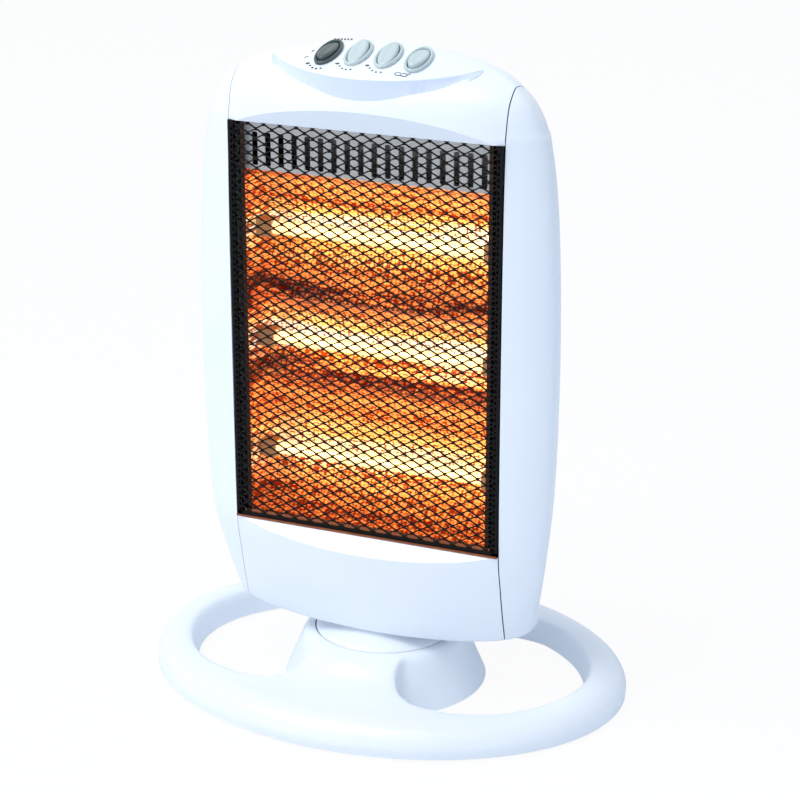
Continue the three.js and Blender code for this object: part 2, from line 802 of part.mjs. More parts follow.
function headRing([height, fall, half, front, widest, back, power], count, share = 1) {
  return Array.from({ length: count }, (_, i) => {
    const angle = (2 * Math.PI * i) / count;
    const [across, deep] = [Math.cos(angle), Math.sin(angle)];
    const rear = deep > 0;
    const x = share * half * (rear ? Math.sign(across) * Math.abs(across) ** (2 / 3) : across);
    const reach = rear ? (back - widest) * deep : (front - widest) * Math.abs(deep) ** power;
    const z = height - fall * (x / seamHalf) ** 2;
    return new THREE.Vector3(x, share * (widest + reach), z);
  });
}

const deckSlope = Math.tan(THREE.MathUtils.degToRad(deckTilt));
const deckZ = (x, y) => deckFrontZ + deckSlope * (y - deckFrontY) - x ** 2 / (2 * deckArch);

// Everything under the deck's arched, tilted face.
function deckForm() {
  const spread = Math.asin(seamHalf / deckArch);
  const shape = new THREE.Shape();
  shape.moveTo(-seamHalf, -deckHalf);
  shape.lineTo(seamHalf, -deckHalf);
  shape.absarc(0, -deckArch, deckArch, Math.PI / 2 - spread, Math.PI / 2 + spread, false);
  const slab = drawnAlongY(shape, -headHalfDepth, 2 * headHalfDepth, 12);
  return slab.rotate([deckTilt, 0, 0]).translate([0, deckFrontY, deckFrontZ]);
}

// Seen from above the deck is a lens: its front edge an arc, its back edge a flatter one.
// Under the front edge a riser flares out, least at the middle, onto the fascia.
function deckLens(steps) {
  const centre = deckFrontY + deckRadius;
  const endY = centre - Math.sqrt(deckRadius ** 2 - deckHalf ** 2);
  const ring = (flared, height) =>
    Array.from({ length: 2 * steps }, (_, i) => {
      const angle = (Math.PI * i) / steps;
      const x = -deckHalf * Math.cos(angle);
      const swell = Math.max(0, Math.sin(angle));
      if (i > steps) return new THREE.Vector3(x, endY * (x / deckHalf) ** 2, height(0, 0, 0));
      const edgeY = centre - Math.sqrt(deckRadius ** 2 - x ** 2);
      const footY = endY - (endY - deckFrontY + riserReach) * swell;
      return new THREE.Vector3(x, flared ? footY : edgeY, height(x, edgeY, swell));
    });
  const low = windowTopZ + 14;
  const high = headHeight + 20;
  const middle = deckFrontY / 2;
  return loft([
    [new THREE.Vector3(0, middle, low)],
    ring(true, () => low),
    ring(true, (x, y, swell) => (y ? deckZ(x, y) - lap - riserHeight * swell ** 1.5 : low + lap)),
    ring(false, (x, y) => (y ? deckZ(x, y) : low + 2 * lap)),
    ring(false, () => high),
    [new THREE.Vector3(0, middle, high)],
  ]);
}

function headForm(count, deckSteps) {
  const [lowest] = headStations;
  const skin = loft([
    [new THREE.Vector3(0, 0, lowest[0])],
    headRing(lowest, count, 0.45),
    ...headStations.map((station) => headRing(station, count)),
    [new THREE.Vector3(0, 4, headHeight)],
  ]);
  const [lens, underDeck] = [deckLens(deckSteps), deckForm()];
  return join(cut(skin, cut(lens, underDeck)), lens.intersect(underDeck));
}

// The form drawn in towards its middle by a wall's thickness.
function drawnIn(form, wall) {
  const middleZ = (headHeight + headBottomZ) / 2;
  const halfHeight = headHeight - middleZ;
  return form
    .translate([0, -headMiddleY, -middleZ])
    .scale([1 - wall / headHalf, 1 - wall / headHalfDepth, 1 - wall / halfHeight])
    .translate([0, headMiddleY, middleZ]);
}

const headOuter = headForm(48, 12);
const headInner = drawnIn(headForm(24, 6), shellWall);
const headClear = drawnIn(headForm(24, 6), shellWall + seatGap + 0.4);
const centreHalf = seamHalf - seamGap / 2;
const centreFront = box(-centreHalf, centreHalf, -far, splitY - seamGap / 2, 0, far);
const centreBack = box(-centreHalf, centreHalf, splitY + seamGap / 2, far, 0, far);

// What lies over the window's slanting top facet (side 1) or under its bottom facet
// (side -1), moved in by a wall's thickness.
function beyondFacet(side, z, depth, height, wall, openFrom) {
  const length = Math.hypot(depth, height);
  const [acrossFacet, upFacet] = [height / length, depth / length];
  const corner = [meshPlaneY + (wall * (1 - upFacet)) / acrossFacet, z + side * wall];
  const end = side > 0 ? far : 0;
  const outermost = [corner[0] - depth * 4, corner[1] + side * height * 4];
  const inner = openFrom
    ? [[openFrom, corner[1]], [openFrom, z - side * past], [far, z - side * past]]
    : [[far, corner[1]]];
  return drawnAlongX(
    polygon([corner, ...inner, [far, end], [outermost[0], end], outermost]),
    -far,
    far,
  );
}

const brow = (wall) => beyondFacet(1, windowTopZ, browDepth, browRise, wall);
const ledgeY = meshPlaneY + sillLedge;
const sill = (wall, openFrom) =>
  beyondFacet(-1, windowBottomZ, sillDepth, sillDrop, wall, openFrom);
const neckHole = post(neckHoleRadius, pedestalTopZ, windowBottomZ - past, { segments: 32 });
const chassisZ = neckTopZ + contact;
const supportBoss = (x, y) =>
  post(bossRadius, pedestalTopZ, neckTopZ, { x, y, segments: 12 }).intersect(headOuter);

// One switch's own frame: across the deck, up its slope, and out of its face.
const switchSpots = Array.from({ length: switchCount }, (_, i) => {
  const x = (i - (switchCount - 1) / 2) * switchPitch;
  const roll = THREE.MathUtils.radToDeg(Math.asin(x / deckArch));
  return { number: i + 1, x, roll, z: deckZ(x, switchY) };
});
const onDeck = (body, { x, roll, z }) =>
  body.rotate([0, roll, 0]).rotate([deckTilt, 0, 0]).translate([x, switchY, z]);
const wellWidth = bezelWidth - 2 * bezelEdge;
const wellLength = bezelLength - 2 * bezelEdge;
const bodyWidth = wellWidth + 2 * switchBodyWall;
const bodyLength = wellLength + 2 * switchBodyWall;
const switchHoles = switchSpots.map((spot) =>
  onDeck(raised(oval(bodyWidth + 2 * seatGap, bodyLength + 2 * seatGap), -20, 10, 6), spot),
);

const fascia = cut(
  headOuter.intersect(centreFront).intersect(brow(0)),
  headInner.intersect(brow(shellWall)),
  ...switchHoles,
);
place(head, "top_fascia", fascia, whiteAbs);

const chin = cut(
  join(
    cut(
      headOuter.intersect(centreFront).intersect(sill(0)),
      headInner.intersect(sill(shellWall, ledgeY)),
    ),
    supportBoss(supportX, supportFrontY),
    supportBoss(-supportX, supportFrontY),
  ),
  neckHole,
);
place(head, "chin_panel", chin, whiteAbs);

const skinAll = cut(headOuter, headInner);
const beyondSeam = box(seamHalf + seamGap / 2, far, -far, far, 0, far);
const rightShell = skinAll.intersect(beyondSeam);
place(head, "right_side_shell", rightShell, whiteAbs);
place(head, "left_side_shell", rightShell.mirror([1, 0, 0]), whiteAbs);

function ventRows(firstZ, rows) {
  const column = ventWidth / 2;
  return Array.from({ length: rows }, (_, row) => row).flatMap((row) =>
    [-0.5, 0.5].map((side) => {
      const z = firstZ + row * ventPitch;
      return block(side * column, far / 2, column - ventRib, far - 2 * splitY, z, z + ventHeight);
    }),
  );
}

const headBackY = headMiddleY + headHalfDepth;
const gripBlock = (grow) =>
  box(
    -gripWidth / 2 - grow, gripWidth / 2 + grow,
    headBackY - gripDepth - grow, far,
    gripZ - gripHeight / 2 - grow, gripZ + gripHeight / 2 + grow,
  );
const backCover = cut(
  join(
    skinAll.intersect(centreBack),
    gripBlock(shellWall).intersect(headOuter),
    supportBoss(supportX, supportBackY),
    supportBoss(-supportX, supportBackY),
  ),
  gripBlock(0),
  neckHole,
  ...ventRows(upperVentZ, upperVents),
  ...ventRows(lowerVentZ, lowerVents),
);
place(head, "back_cover", backCover, whiteAbs);

// ---- Switches ----
const pinZ = bezelLip - rockerPinDrop;
const pinReach = 0.4; // of a pin into the well's wall
const bezelBody = cut(
  join(
    raised(oval(bezelWidth, bezelLength), seatGap, seatGap + bezelLip, 8),
    raised(oval(bodyWidth, bodyLength), -switchBoxDepth, seatGap + lap / 2, 6),
  ),
  raised(oval(wellWidth, wellLength), -switchWellDepth, past, 8),
  block(
    0, 0, wellWidth + 2 * (pinReach + seatGap), 2 * rockerPocket,
    pinZ - rockerPocket, pinZ + rockerPocket,
  ),
);
const halfWell = wellLength / 2;
const rockerShape = polygon([
  [-halfWell, -1], [5 - halfWell, -rockerUnder], [halfWell - 5, -rockerUnder],
  [halfWell, -1], [halfWell, rockerTop - rockerEndRise], [halfWell - 2.5, rockerTop],
  [2 - halfWell, rockerTop], [-halfWell, rockerTop - rockerEndRise],
]);
const rockerPlan = oval(wellWidth - 2 * rockerGap, wellLength - 2 * rockerGap);
const pinLength = wellWidth + 2 * pinReach;
const rockerPins = new THREE.CylinderGeometry(rockerPinRadius, rockerPinRadius, pinLength, 8);
const rockerBody = join(
  raised(rockerPlan, -rockerUnder, rockerTop, 8).intersect(
    drawnAlongX(rockerShape, -bezelWidth, bezelWidth),
  ),
  solid(rockerPins.rotateZ(Math.PI / 2)),
);
const rearRaised = [false, true, true, false]; // the second and third are switched on
for (const spot of switchSpots) {
  const dark = spot.number === 1;
  const tilt = rearRaised[spot.number - 1] ? rockerTilt : -rockerTilt;
  const name = "switch_" + spot.number;
  const rocker = rockerBody.rotate([tilt, 0, 0]).translate([0, 0, pinZ]);
  place(head, name + "_bezel", onDeck(bezelBody, spot), dark ? darkSwitch : greySwitch);
  place(head, name + "_rocker", onDeck(rocker, spot), dark ? darkSwitch : greySwitch);
}

// ---- Heater ----
const chassisTopZ = chassisZ + chassisThick;
const chassis = cut(
  box(-chassisHalfX, chassisHalfX, chassisFrontY, chassisBackY, chassisZ, chassisTopZ).intersect(
    headClear,
  ),
  post(journalBore + 2, 0, chassisTopZ + past, { segments: 24 }),
  ...neckBosses.map(([x, y]) =>
    post(screwHole, 0, chassisTopZ + past, { x, y, segments: 10 }),
  ),
);
place(head, "chassis_plate", chassis, zincSteel);
neckBosses.forEach(([x, y], i) => {
  place(head, "chassis_screw_" + (i + 1), screw(x, y, chassisTopZ + contact, -1), zincSteel);
});

const bracketOuter = bracketX + sheetThick;
const bracketTopZ = windowTopZ - contact;
const bracketFootZ = chassisTopZ + contact;
const flangeX = bracketX - bracketFlange;
const bracket = cut(
  join(
    box(bracketX, bracketOuter, bracketFrontY, bracketBackY, bracketFootZ, bracketTopZ),
    box(
      flangeX, bracketOuter, bracketFrontY, bracketFrontY + sheetThick,
      windowBottomZ + 4, bracketTopZ,
    ),
    box(
      flangeX, bracketOuter, bracketBackY - sheetThick, bracketBackY,
      bracketFootZ, bracketTopZ,
    ),
    box(flangeX, bracketOuter, lampY, bracketBackY, bracketFootZ, bracketFootZ + sheetThick),
  ).intersect(headClear),
  ...lampZ.map((z) => {
    const half = capSide / 2 + seatGap;
    return block(bracketX, lampY, 2 * past, 2 * half, z - half, z + half);
  }),
);
place(head, "lamp_bracket_right", bracket, blackSteel);
place(head, "lamp_bracket_left", bracket.mirror([1, 0, 0]), blackSteel);

// The reflector's face, from the bottom up: three troughs with two ridges between them.
function reflectorFace() {
  const edges = [reflectorBottomZ, ridgeZ[1], ridgeZ[0], reflectorTopZ];
  const lips = [slotPanelY + 2, troughFrontY, troughFrontY, slotPanelY + 2];
  const steps = 9;
  const face = [];
  for (let trough = 0; trough < 3; trough++) {
    for (let i = 0; i <= steps; i++) {
      const share = i / steps;
      const lip = lips[trough] + share * (lips[trough + 1] - lips[trough]);
      const z = edges[trough] + share * (edges[trough + 1] - edges[trough] - 1.5);
      const deep = troughDepth + troughFrontY - lip;
      face.push([lip + deep * Math.sin(Math.PI * share), z]);
    }
  }
  return face;
}

const face = reflectorFace();
const behind = face.map(([y, z]) => [y + sheetThick * 1.4, z]).reverse();
const reflector = drawnAlongX(polygon([...face, ...behind]), -reflectorHalf, reflectorHalf);
place(head, "reflector", reflector, brightAluminium);

const shieldY = bracketBackY + contact;
const shieldTopZ = windowTopZ - shieldInset;
const shieldHalf = flangeX - bracketFlange;
const shield = join(
  box(
    -bracketX, bracketX, shieldY, shieldY + sheetThick,
    reflectorBottomZ + shieldInset, shieldTopZ,
  ),
  box(
    -shieldHalf, shieldHalf, shieldY - shieldFold, shieldY + sheetThick,
    shieldTopZ - sheetThick, shieldTopZ,
  ),
);
place(head, "heat_shield", shield, zincSteel);

const slotPanelTop = windowTopZ - contact;
const slotMiddleZ = slotPanelTop - slotPanelHeight / 2 - 3;
const slots = Array.from({ length: slotCount }, (_, i) => {
  const x = (i - (slotCount - 1) / 2) * slotPitch;
  const [z0, z1] = [slotMiddleZ - slotHeight / 2, slotMiddleZ + slotHeight / 2];
  return block(x, slotPanelY, slotWidth, 2 * past, z0, z1);
});
const slotPanel = cut(
  box(
    -reflectorHalf, reflectorHalf, slotPanelY, slotPanelY + sheetThick,
    slotPanelTop - slotPanelHeight, slotPanelTop,
  ),
  ...slots,
);
place(head, "slot_panel", slotPanel, greySteel);

lampZ.forEach((z, i) => {
  const along = (body) => body.rotate([0, 90, 0]).translate([0, lampY, z]);
  const tube = turned(closed([
    [tubeRadius - tubeWall, -tubeHalf],
    [tubeRadius, -tubeHalf],
    [tubeRadius, tubeHalf],
    [tubeRadius - tubeWall, tubeHalf],
  ]), 16);
  const ringStep = (2 * (tubeHalf - capSide)) / (filamentRings - 1);
  const coil = Array.from({ length: filamentRings }, (_, ring) => {
    const middle = capSide - tubeHalf + ring * ringStep;
    return [
      [filamentRadius, middle - 0.5], [filamentRingRadius, middle - 0.3],
      [filamentRingRadius, middle + 0.3], [filamentRadius, middle + 0.5],
    ];
  });
  const end = tubeHalf + seatGap - contact;
  const filament = turned([
    [0, -end], [filamentRadius, -end], ...coil.flat(), [filamentRadius, end], [0, end],
  ], 6);
  place(head, "lamp_tube_" + (i + 1), along(tube), quartz);
  place(head, "lamp_filament_" + (i + 1), along(filament), tungsten);
  const half = capSide / 2;
  const inner = tubeHalf - capGrip;
  const cap = cut(
    box(inner, inner + capLength, lampY - half, lampY + half, z - half, z + half),
    along(post(tubeRadius + seatGap, 0, tubeHalf + seatGap, { segments: 16 })),
  );
  place(head, "lamp_cap_right_" + (i + 1), cap, ceramic);
  place(head, "lamp_cap_left_" + (i + 1), cap.mirror([1, 0, 0]), ceramic);
});

// ---- Guard ----
const guardHalf = seamHalf - seamGap;
const guardBottom = windowBottomZ + railHeight + contact;
const guardTop = windowTopZ - contact;
const guardBackY = meshPlaneY + guardThick;

function diamond(x, z) {
  const [halfX, halfZ] = [diamondPitchX / 2, diamondPitchZ / 2];
  const apothem = (halfX * halfZ) / Math.hypot(halfX, halfZ);
  const share = 1 - strandWidth / 2 / apothem;
  return polygon([
    [x - halfX * share, z], [x, z - halfZ * share], [x + halfX * share, z], [x, z + halfZ * share],
  ]);
}

const diamonds = [];
const rowCount = Math.ceil((2 * (guardTop - guardBottom)) / diamondPitchZ);
for (let row = 0; row <= rowCount; row++) {
  for (let column = -3; column <= 3; column++) {
    const x = (column + (row % 2) / 2) * diamondPitchX;
    diamonds.push(diamond(x, guardBottom + (row * diamondPitchZ) / 2));
  }
}
const meshArea = box(
  -guardHalf + guardSideStrip, guardHalf - guardSideStrip, -far, far,
  guardBottom + guardEdge, guardTop - guardEdge,
);
const openings = wasm.Manifold.union(
  diamonds.map((hole) => drawnAlongY(hole, meshPlaneY - past, guardBackY + past)),
);
const guard = join(
  cut(
    box(-guardHalf, guardHalf, meshPlaneY, guardBackY, guardBottom, guardTop),
    openings.intersect(meshArea),
  ),
  ...[-1, 1].map((side) => {
    const x = side * (guardHalf - guardThick / 2);
    const y = meshPlaneY + guardReturn / 2;
    return block(x, y, guardThick, guardReturn, guardBottom, guardTop);
  }),
);
place(head, "guard_mesh", guard, blackSteel);

const railZ = windowBottomZ + contact;
const railUpstand = guardHalf - guardSideStrip;
const rail = join(
  box(-guardHalf, guardHalf, meshPlaneY - railLip, ledgeY, railZ, guardBottom - contact),
  box(
    -railUpstand, railUpstand, guardBackY + contact, guardBackY + contact + sheetThick,
    railZ, guardBottom + past,
  ),
);
place(head, "guard_rail", rail, copperSteel);

// ---- Electrical ----
const terminalTopZ = chassisTopZ + terminalHeight;
const terminalMiddle = [terminalX + terminalLength / 2, terminalDepth / 2];
const terminalBlock = join(
  block(...terminalMiddle, terminalLength, terminalDepth, chassisTopZ + contact, terminalTopZ),
  ...[-1, 0, 1].map((step) =>
    block(
      terminalMiddle[0] + step * terminalPitch, terminalMiddle[1],
      (terminalPitch * 2) / 3, terminalDepth - 4, terminalTopZ - lap, terminalTopZ + past,
    ),
  ),
);
place(head, "terminal_block", terminalBlock, ceramic);

const cutoutY = bracketBackY + 2 * contact + sheetThick;
const cutout = join(
  turned([[0, 0], [8, 0], [8, 6], [5, 7.4], [0, 7.4]], 20),
  block(0, 0, 24, 7, 0, 1),
  ...[-5, 5].map((x) => block(x, 0, 3, bladeThick, 6, 6 + bladeLength)),
);
place(
  head,
  "thermal_cutout",
  cutout.rotate([-90, 0, 0]).translate([cutoutX, cutoutY, cutoutZ]),
  blackPlastic,
);

export default heater;
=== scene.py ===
"""Halogen heater on a plain pale set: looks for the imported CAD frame."""
import math

import bmesh
import bpy
import numpy as np
from mathutils import Matrix, Vector
from mathutils.bvhtree import BVHTree


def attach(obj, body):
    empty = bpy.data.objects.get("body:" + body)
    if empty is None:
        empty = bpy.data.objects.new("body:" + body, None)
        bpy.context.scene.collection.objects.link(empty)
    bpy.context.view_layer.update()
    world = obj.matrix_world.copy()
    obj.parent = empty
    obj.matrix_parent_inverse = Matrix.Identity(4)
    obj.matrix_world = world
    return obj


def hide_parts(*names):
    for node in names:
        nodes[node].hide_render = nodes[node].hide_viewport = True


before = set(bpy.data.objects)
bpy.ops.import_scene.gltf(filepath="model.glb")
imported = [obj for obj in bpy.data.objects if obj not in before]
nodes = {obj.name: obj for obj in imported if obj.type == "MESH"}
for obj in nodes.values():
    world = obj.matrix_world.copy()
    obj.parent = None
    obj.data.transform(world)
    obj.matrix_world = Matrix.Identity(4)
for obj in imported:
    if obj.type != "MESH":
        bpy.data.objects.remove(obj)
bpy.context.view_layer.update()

# ---- Camera ----
# The photograph was taken from the front right, a little above the heater, with a long
# lens. The camera stands where lines through the guard's corners and the base ring meet.
MM = 0.001
camera_place = Vector((665.4, -1516.3, 814.4)) * MM
camera_aim = Vector((10.5, -1.5, 227.7)) * MM
camera_data = bpy.data.cameras.new("camera")
camera_data.lens = 104.416
camera_data.sensor_width = 36
camera = bpy.data.objects.new("camera", camera_data)
camera.location = camera_place
camera.rotation_mode = "QUATERNION"
camera.rotation_quaternion = (camera_aim - camera_place).to_track_quat("-Z", "Y")
camera_data.clip_start = 0.05
camera_data.clip_end = 50
bpy.context.scene.collection.objects.link(camera)
bpy.context.scene.camera = camera

# ---- Light and floor ----
# A white studio table: a large soft light high on the left, a weak one low at the front
# left and a pale surround that fills the shadows. The floor keeps a soft shadow.
bpy.context.scene.view_settings.view_transform = "Standard"


def linear(colour):
    """An sRGB hex colour, such as "F4F7FD", as linear RGBA."""
    parts = [int(colour[i:i + 2], 16) / 255 for i in (0, 2, 4)]
    return [p / 12.92 if p <= 0.04045 else ((p + 0.055) / 1.055) ** 2.4 for p in parts] + [1]


def add_node(tree, kind, settings=None, inputs=None, links=None):
    """Adds a node, sets its properties and inputs, and links sockets into it."""
    made = tree.nodes.new(kind)
    for name, value in (settings or {}).items():
        setattr(made, name, value)
    for name, value in (inputs or {}).items():
        made.inputs[name].default_value = value
    for name, source in (links or {}).items():
        tree.links.new(source, made.inputs[name])
    return made


def area_light(name, place, width, power, colour):
    """A soft light aimed at the heater's middle."""
    data = bpy.data.lights.new(name, "AREA")
    data.shape = "RECTANGLE"
    data.size, data.size_y = width, 1.6
    data.energy = power
    data.color = linear(colour)[:3]
    lamp = bpy.data.objects.new(name, data)
    lamp.location = place
    aim = Vector((0, 0, 0.25)) - Vector(place)
    lamp.rotation_euler = aim.to_track_quat("-Z", "Y").to_euler()
    bpy.context.scene.collection.objects.link(lamp)


area_light("key_light", (-0.9, -1.0, 2.6), 1.6, 38, "FFFFFF")
area_light("front_light", (-1.3, -2.2, 0.9), 1.2, 6.5, "F8FAFF")

# The camera, reflections and what shows through glass see a plain white backdrop; every
# other ray sees the soft pale light.
world = bpy.data.worlds.new("surround")
bpy.context.scene.world = world
world.use_nodes = True
tree = world.node_tree
tree.nodes.clear()
path = add_node(tree, "ShaderNodeLightPath").outputs
seen = path["Is Camera Ray"]
for ray in ("Is Transmission Ray", "Is Glossy Ray"):
    seen = add_node(
        tree, "ShaderNodeMath", {"operation": "MAXIMUM"}, links={0: seen, 1: path[ray]}
    ).outputs[0]
soft_light, backdrop = [
    add_node(
        tree, "ShaderNodeBackground", inputs={"Color": linear(colour), "Strength": strength}
    ).outputs[0]
    for colour, strength in (("E0EEFF", 0.76), ("FFFFFF", 1))
]
either = add_node(tree, "ShaderNodeMixShader", links={0: seen, 1: soft_light, 2: backdrop})
add_node(tree, "ShaderNodeOutputWorld", links={"Surface": either.outputs[0]})


def mesh_object(name, points, faces):
    mesh = bpy.data.meshes.new(name)
    mesh.from_pydata([tuple(point) for point in points], [], faces)
    made = bpy.data.objects.new(name, mesh)
    bpy.context.scene.collection.objects.link(made)
    return made


FLOOR = 12
FLOOR_WHITE = 0.93  # the share of the floor that the camera sees as plain white
floor = mesh_object(
    "floor",
    [(-FLOOR, -FLOOR, 0), (FLOOR, -FLOOR, 0), (FLOOR, FLOOR, 0), (-FLOOR, FLOOR, 0)],
    [(0, 1, 2, 3)],
)
floor_paint = bpy.data.materials.new("white_table")
floor_paint.use_nodes = True
tree = floor_paint.node_tree
tree.nodes.clear()
path = add_node(tree, "ShaderNodeLightPath").outputs
paint = add_node(tree, "ShaderNodeBsdfDiffuse", inputs={"Color": linear("F0F2F6")})
white = add_node(
    tree, "ShaderNodeEmission", inputs={"Color": linear("FFFFFF"), "Strength": 1}
)
share = add_node(
    tree, "ShaderNodeMath", {"operation": "MULTIPLY"}, inputs={1: FLOOR_WHITE},
    links={0: path["Is Camera Ray"]},
)
either = add_node(tree, "ShaderNodeMixShader", links={
    0: share.outputs[0], 1: paint.outputs[0], 2: white.outputs[0],
})
add_node(tree, "ShaderNodeOutputMaterial", links={"Surface": either.outputs[0]})
floor.data.materials.append(floor_paint)

# ---- Base shell ----
# One injection moulding of white ABS: an oval ring, a conical pedestal and an apron that
# flows from one into the other. Its faces are gently blended, as the tool is polished.
SWING_Y = -6
RING_HALF = (191, 145)
RING_WIDTH = (33, 33.5)
RING_HEIGHT = 23.6
RIM_LIFT = 1.6
PEDESTAL_TOP = 43
CONE_FOOT, CONE_TOP = 80, 62
WAIST_HALF, WAIST_REACH = 37, 58
FLARE_HALF, FLARE_CREST, FLARE_SWEEP = 140, 7, 34
NECK_RADIUS = 53.8
RECESS_DEPTH, RECESS_GAP = 3, 1.1
WALL = 2.4


def principled(name, values):
    """A material with these shader inputs, its tree, those inputs and Object coordinates."""
    made = bpy.data.materials.new(name)
    made.use_nodes = True
    sockets = made.node_tree.nodes["Principled BSDF"].inputs
    for label, value in values.items():
        sockets[label].default_value = value
    place = add_node(made.node_tree, "ShaderNodeTexCoord").outputs["Object"]
    return made, made.node_tree, sockets, place


def noise(tree, place, scale, detail):
    return add_node(
        tree, "ShaderNodeTexNoise", inputs={"Scale": scale, "Detail": detail},
        links={"Vector": place},
    ).outputs["Fac"]


def ranged(tree, value, low, high, settings=None, **wanted):
    """Maps a value to a range; the range it comes from is 0 to 1 unless given."""
    limits = {"To Min": low, "To Max": high}
    if wanted:
        limits["From Min"], limits["From Max"] = wanted["start"], wanted["end"]
    return add_node(
        tree, "ShaderNodeMapRange", settings, inputs=limits, links={"Value": value}
    ).outputs[0]


def mixed(tree, share, tones):
    """Passes from one sRGB tone to the other."""
    return add_node(
        tree, "ShaderNodeMix", {"data_type": "RGBA"},
        inputs={6: linear(tones[0]), 7: linear(tones[1])}, links={0: share},
    ).outputs[2]


def dented(tree, sockets, height, depth):
    """Raises a relief of this depth, in metres, on the shader."""
    bump = add_node(
        tree, "ShaderNodeBump", inputs={"Strength": 1, "Distance": depth},
        links={"Height": height},
    )
    tree.links.new(bump.outputs[0], sockets["Normal"])


def mottled(name, tones, gloss, patch_mm, grain_mm, relief, metallic=0.0, ior=1.5, coat=0.0):
    """Two tones and two roughnesses that pass into each other in patches, under a fine grain.

    The relief is the grain's depth in micrometres."""
    made, tree, sockets, place = principled(
        name, {"Metallic": metallic, "Coat Weight": coat, "Coat Roughness": 0.15}
    )
    if not metallic:
        sockets["IOR"].default_value = ior
    patches = noise(tree, place, 1 / (patch_mm * MM), 4)
    tree.links.new(mixed(tree, patches, tones), sockets["Base Color"])
    tree.links.new(ranged(tree, patches, *gloss), sockets["Roughness"])
    dented(tree, sockets, noise(tree, place, 1 / (grain_mm * MM), 2), relief * 1e-6)
    return made


# Injection-moulded ABS from a polished tool: cool white, satin, with a very faint flow
# mottle and an orange-peel grain about a millimetre wide.
white_abs = mottled(
    "white_moulded_abs", ("EEF4FB", "F5F9FE"), (0.27, 0.34), 60, 1.2, 6, ior=1.54, coat=0.12
)


def applied(made):
    """Turns the object's modifiers into mesh."""
    bpy.context.view_layer.update()
    graph = bpy.context.evaluated_depsgraph_get()
    mesh = bpy.data.meshes.new_from_object(made.evaluated_get(graph))
    made.modifiers.clear()
    made.data = mesh
    return made


def with_modifier(made, kind, **settings):
    change = made.modifiers.new(kind.lower(), kind)
    for name, value in settings.items():
        setattr(change, name, value)
    return applied(made)


def combine(target, tool, operation):
    """Joins the tool to the target, cuts it out or keeps what they share."""
    with_modifier(
        target, "BOOLEAN", operation=operation, object=tool, solver="EXACT",
        material_mode="INDEX",
    )
    bpy.data.objects.remove(tool)
    return target


def merged(name, *parts):
    """One object from several, which go."""
    shape = bmesh.new()
    for part in parts:
        shape.from_mesh(part.data)
    made = mesh_object(name, [], [])
    for held in parts[0].data.materials:
        made.data.materials.append(held)
    shape.to_mesh(made.data)
    shape.free()
    for part in parts:
        bpy.data.objects.remove(part)
    return made


def reshape(made, change):
    """Runs a change over the object's mesh."""
    shape = bmesh.new()
    shape.from_mesh(made.data)
    change(shape)
    shape.to_mesh(made.data)
    shape.free()
    return made


def strip_faces(rows, count, closed_rows=False):
    """Quads between rows of points, each row a closed loop of count points."""
    faces = []
    for row in range(rows if closed_rows else rows - 1):
        low, high = row * count, (row + 1) % rows * count
        for i in range(count):
            following = (i + 1) % count
            faces.append((low + i, low + following, high + following, high + i))
    return faces


def skin(name, loops, poles=(None, None), ring=False):
    """A closed skin over equal loops, anticlockwise from above and listed upwards."""
    count = len(loops[0])
    points = [point for loop in loops for point in loop]
    faces = strip_faces(len(loops), count, ring)
    for pole, start, turn in ((poles[0], 0, -1), (poles[1], (len(loops) - 1) * count, 1)):
        if pole is not None:
            points.append(pole)
            for i in range(count):
                edge = [start + i, start + (i + 1) % count]
                faces.append((*edge[::turn], len(points) - 1))
    return mesh_object(name, points, faces)


def turned(name, profile, segments=128, centre=(0, SWING_Y), closed=False):
    """A profile of (radius, height), walked upwards outside, turned about the Z axis."""
    angles = np.linspace(0, 2 * math.pi, segments, endpoint=False)
    loops = [
        [(centre[0] + r * math.cos(a), centre[1] + r * math.sin(a), z) for a in angles]
        for r, z in profile
        if r > 0
    ]
    ends = [
        (*centre, z) if r == 0 else None for r, z in (profile[0], profile[-1])
    ]
    return skin(name, loops, ends, ring=closed)


def outline_prism(name, outline, low, high):
    """A closed prism over an anticlockwise outline of (x, y)."""
    count = len(outline)
    points = [(x, y, low) for x, y in outline] + [(x, y, high) for x, y in outline]
    faces = strip_faces(2, count)
    faces += [tuple(range(count))[::-1], tuple(range(count, 2 * count))]
    return mesh_object(name, points, faces)


def bezier(start, first, second, end, steps=18):
    t = np.linspace(0, 1, steps + 1)[1:, None]
    start, first, second, end = (np.array(p, float) for p in (start, first, second, end))
    curve = (
        (1 - t) ** 3 * start + 3 * (1 - t) ** 2 * t * first
        + 3 * (1 - t) * t ** 2 * second + t ** 3 * end
    )
    return [tuple(point) for point in curve]


def smooth_through(at, values, wanted):
    """A monotone cubic curve through values at the rising places in at."""
    at, values = np.array(at, float), np.array(values, float)
    step = np.diff(at)
    rise = np.diff(values) / step
    slope = np.zeros_like(values)
    slope[0], slope[-1] = rise[0], rise[-1]
    for i in range(1, len(at) - 1):
        if rise[i - 1] * rise[i] > 0:
            before, after = 2 * step[i] + step[i - 1], step[i] + 2 * step[i - 1]
            slope[i] = (before + after) / (before / rise[i - 1] + after / rise[i])
    place = np.clip(np.searchsorted(at, wanted, side="right") - 1, 0, len(at) - 2)
    t = (wanted - at[place]) / step[place]
    return (
        values[place] * (1 + 2 * t) * (1 - t) ** 2
        + slope[place] * step[place] * t * (1 - t) ** 2
        + values[place + 1] * t ** 2 * (3 - 2 * t)
        + slope[place + 1] * step[place] * t ** 2 * (t - 1)
    )


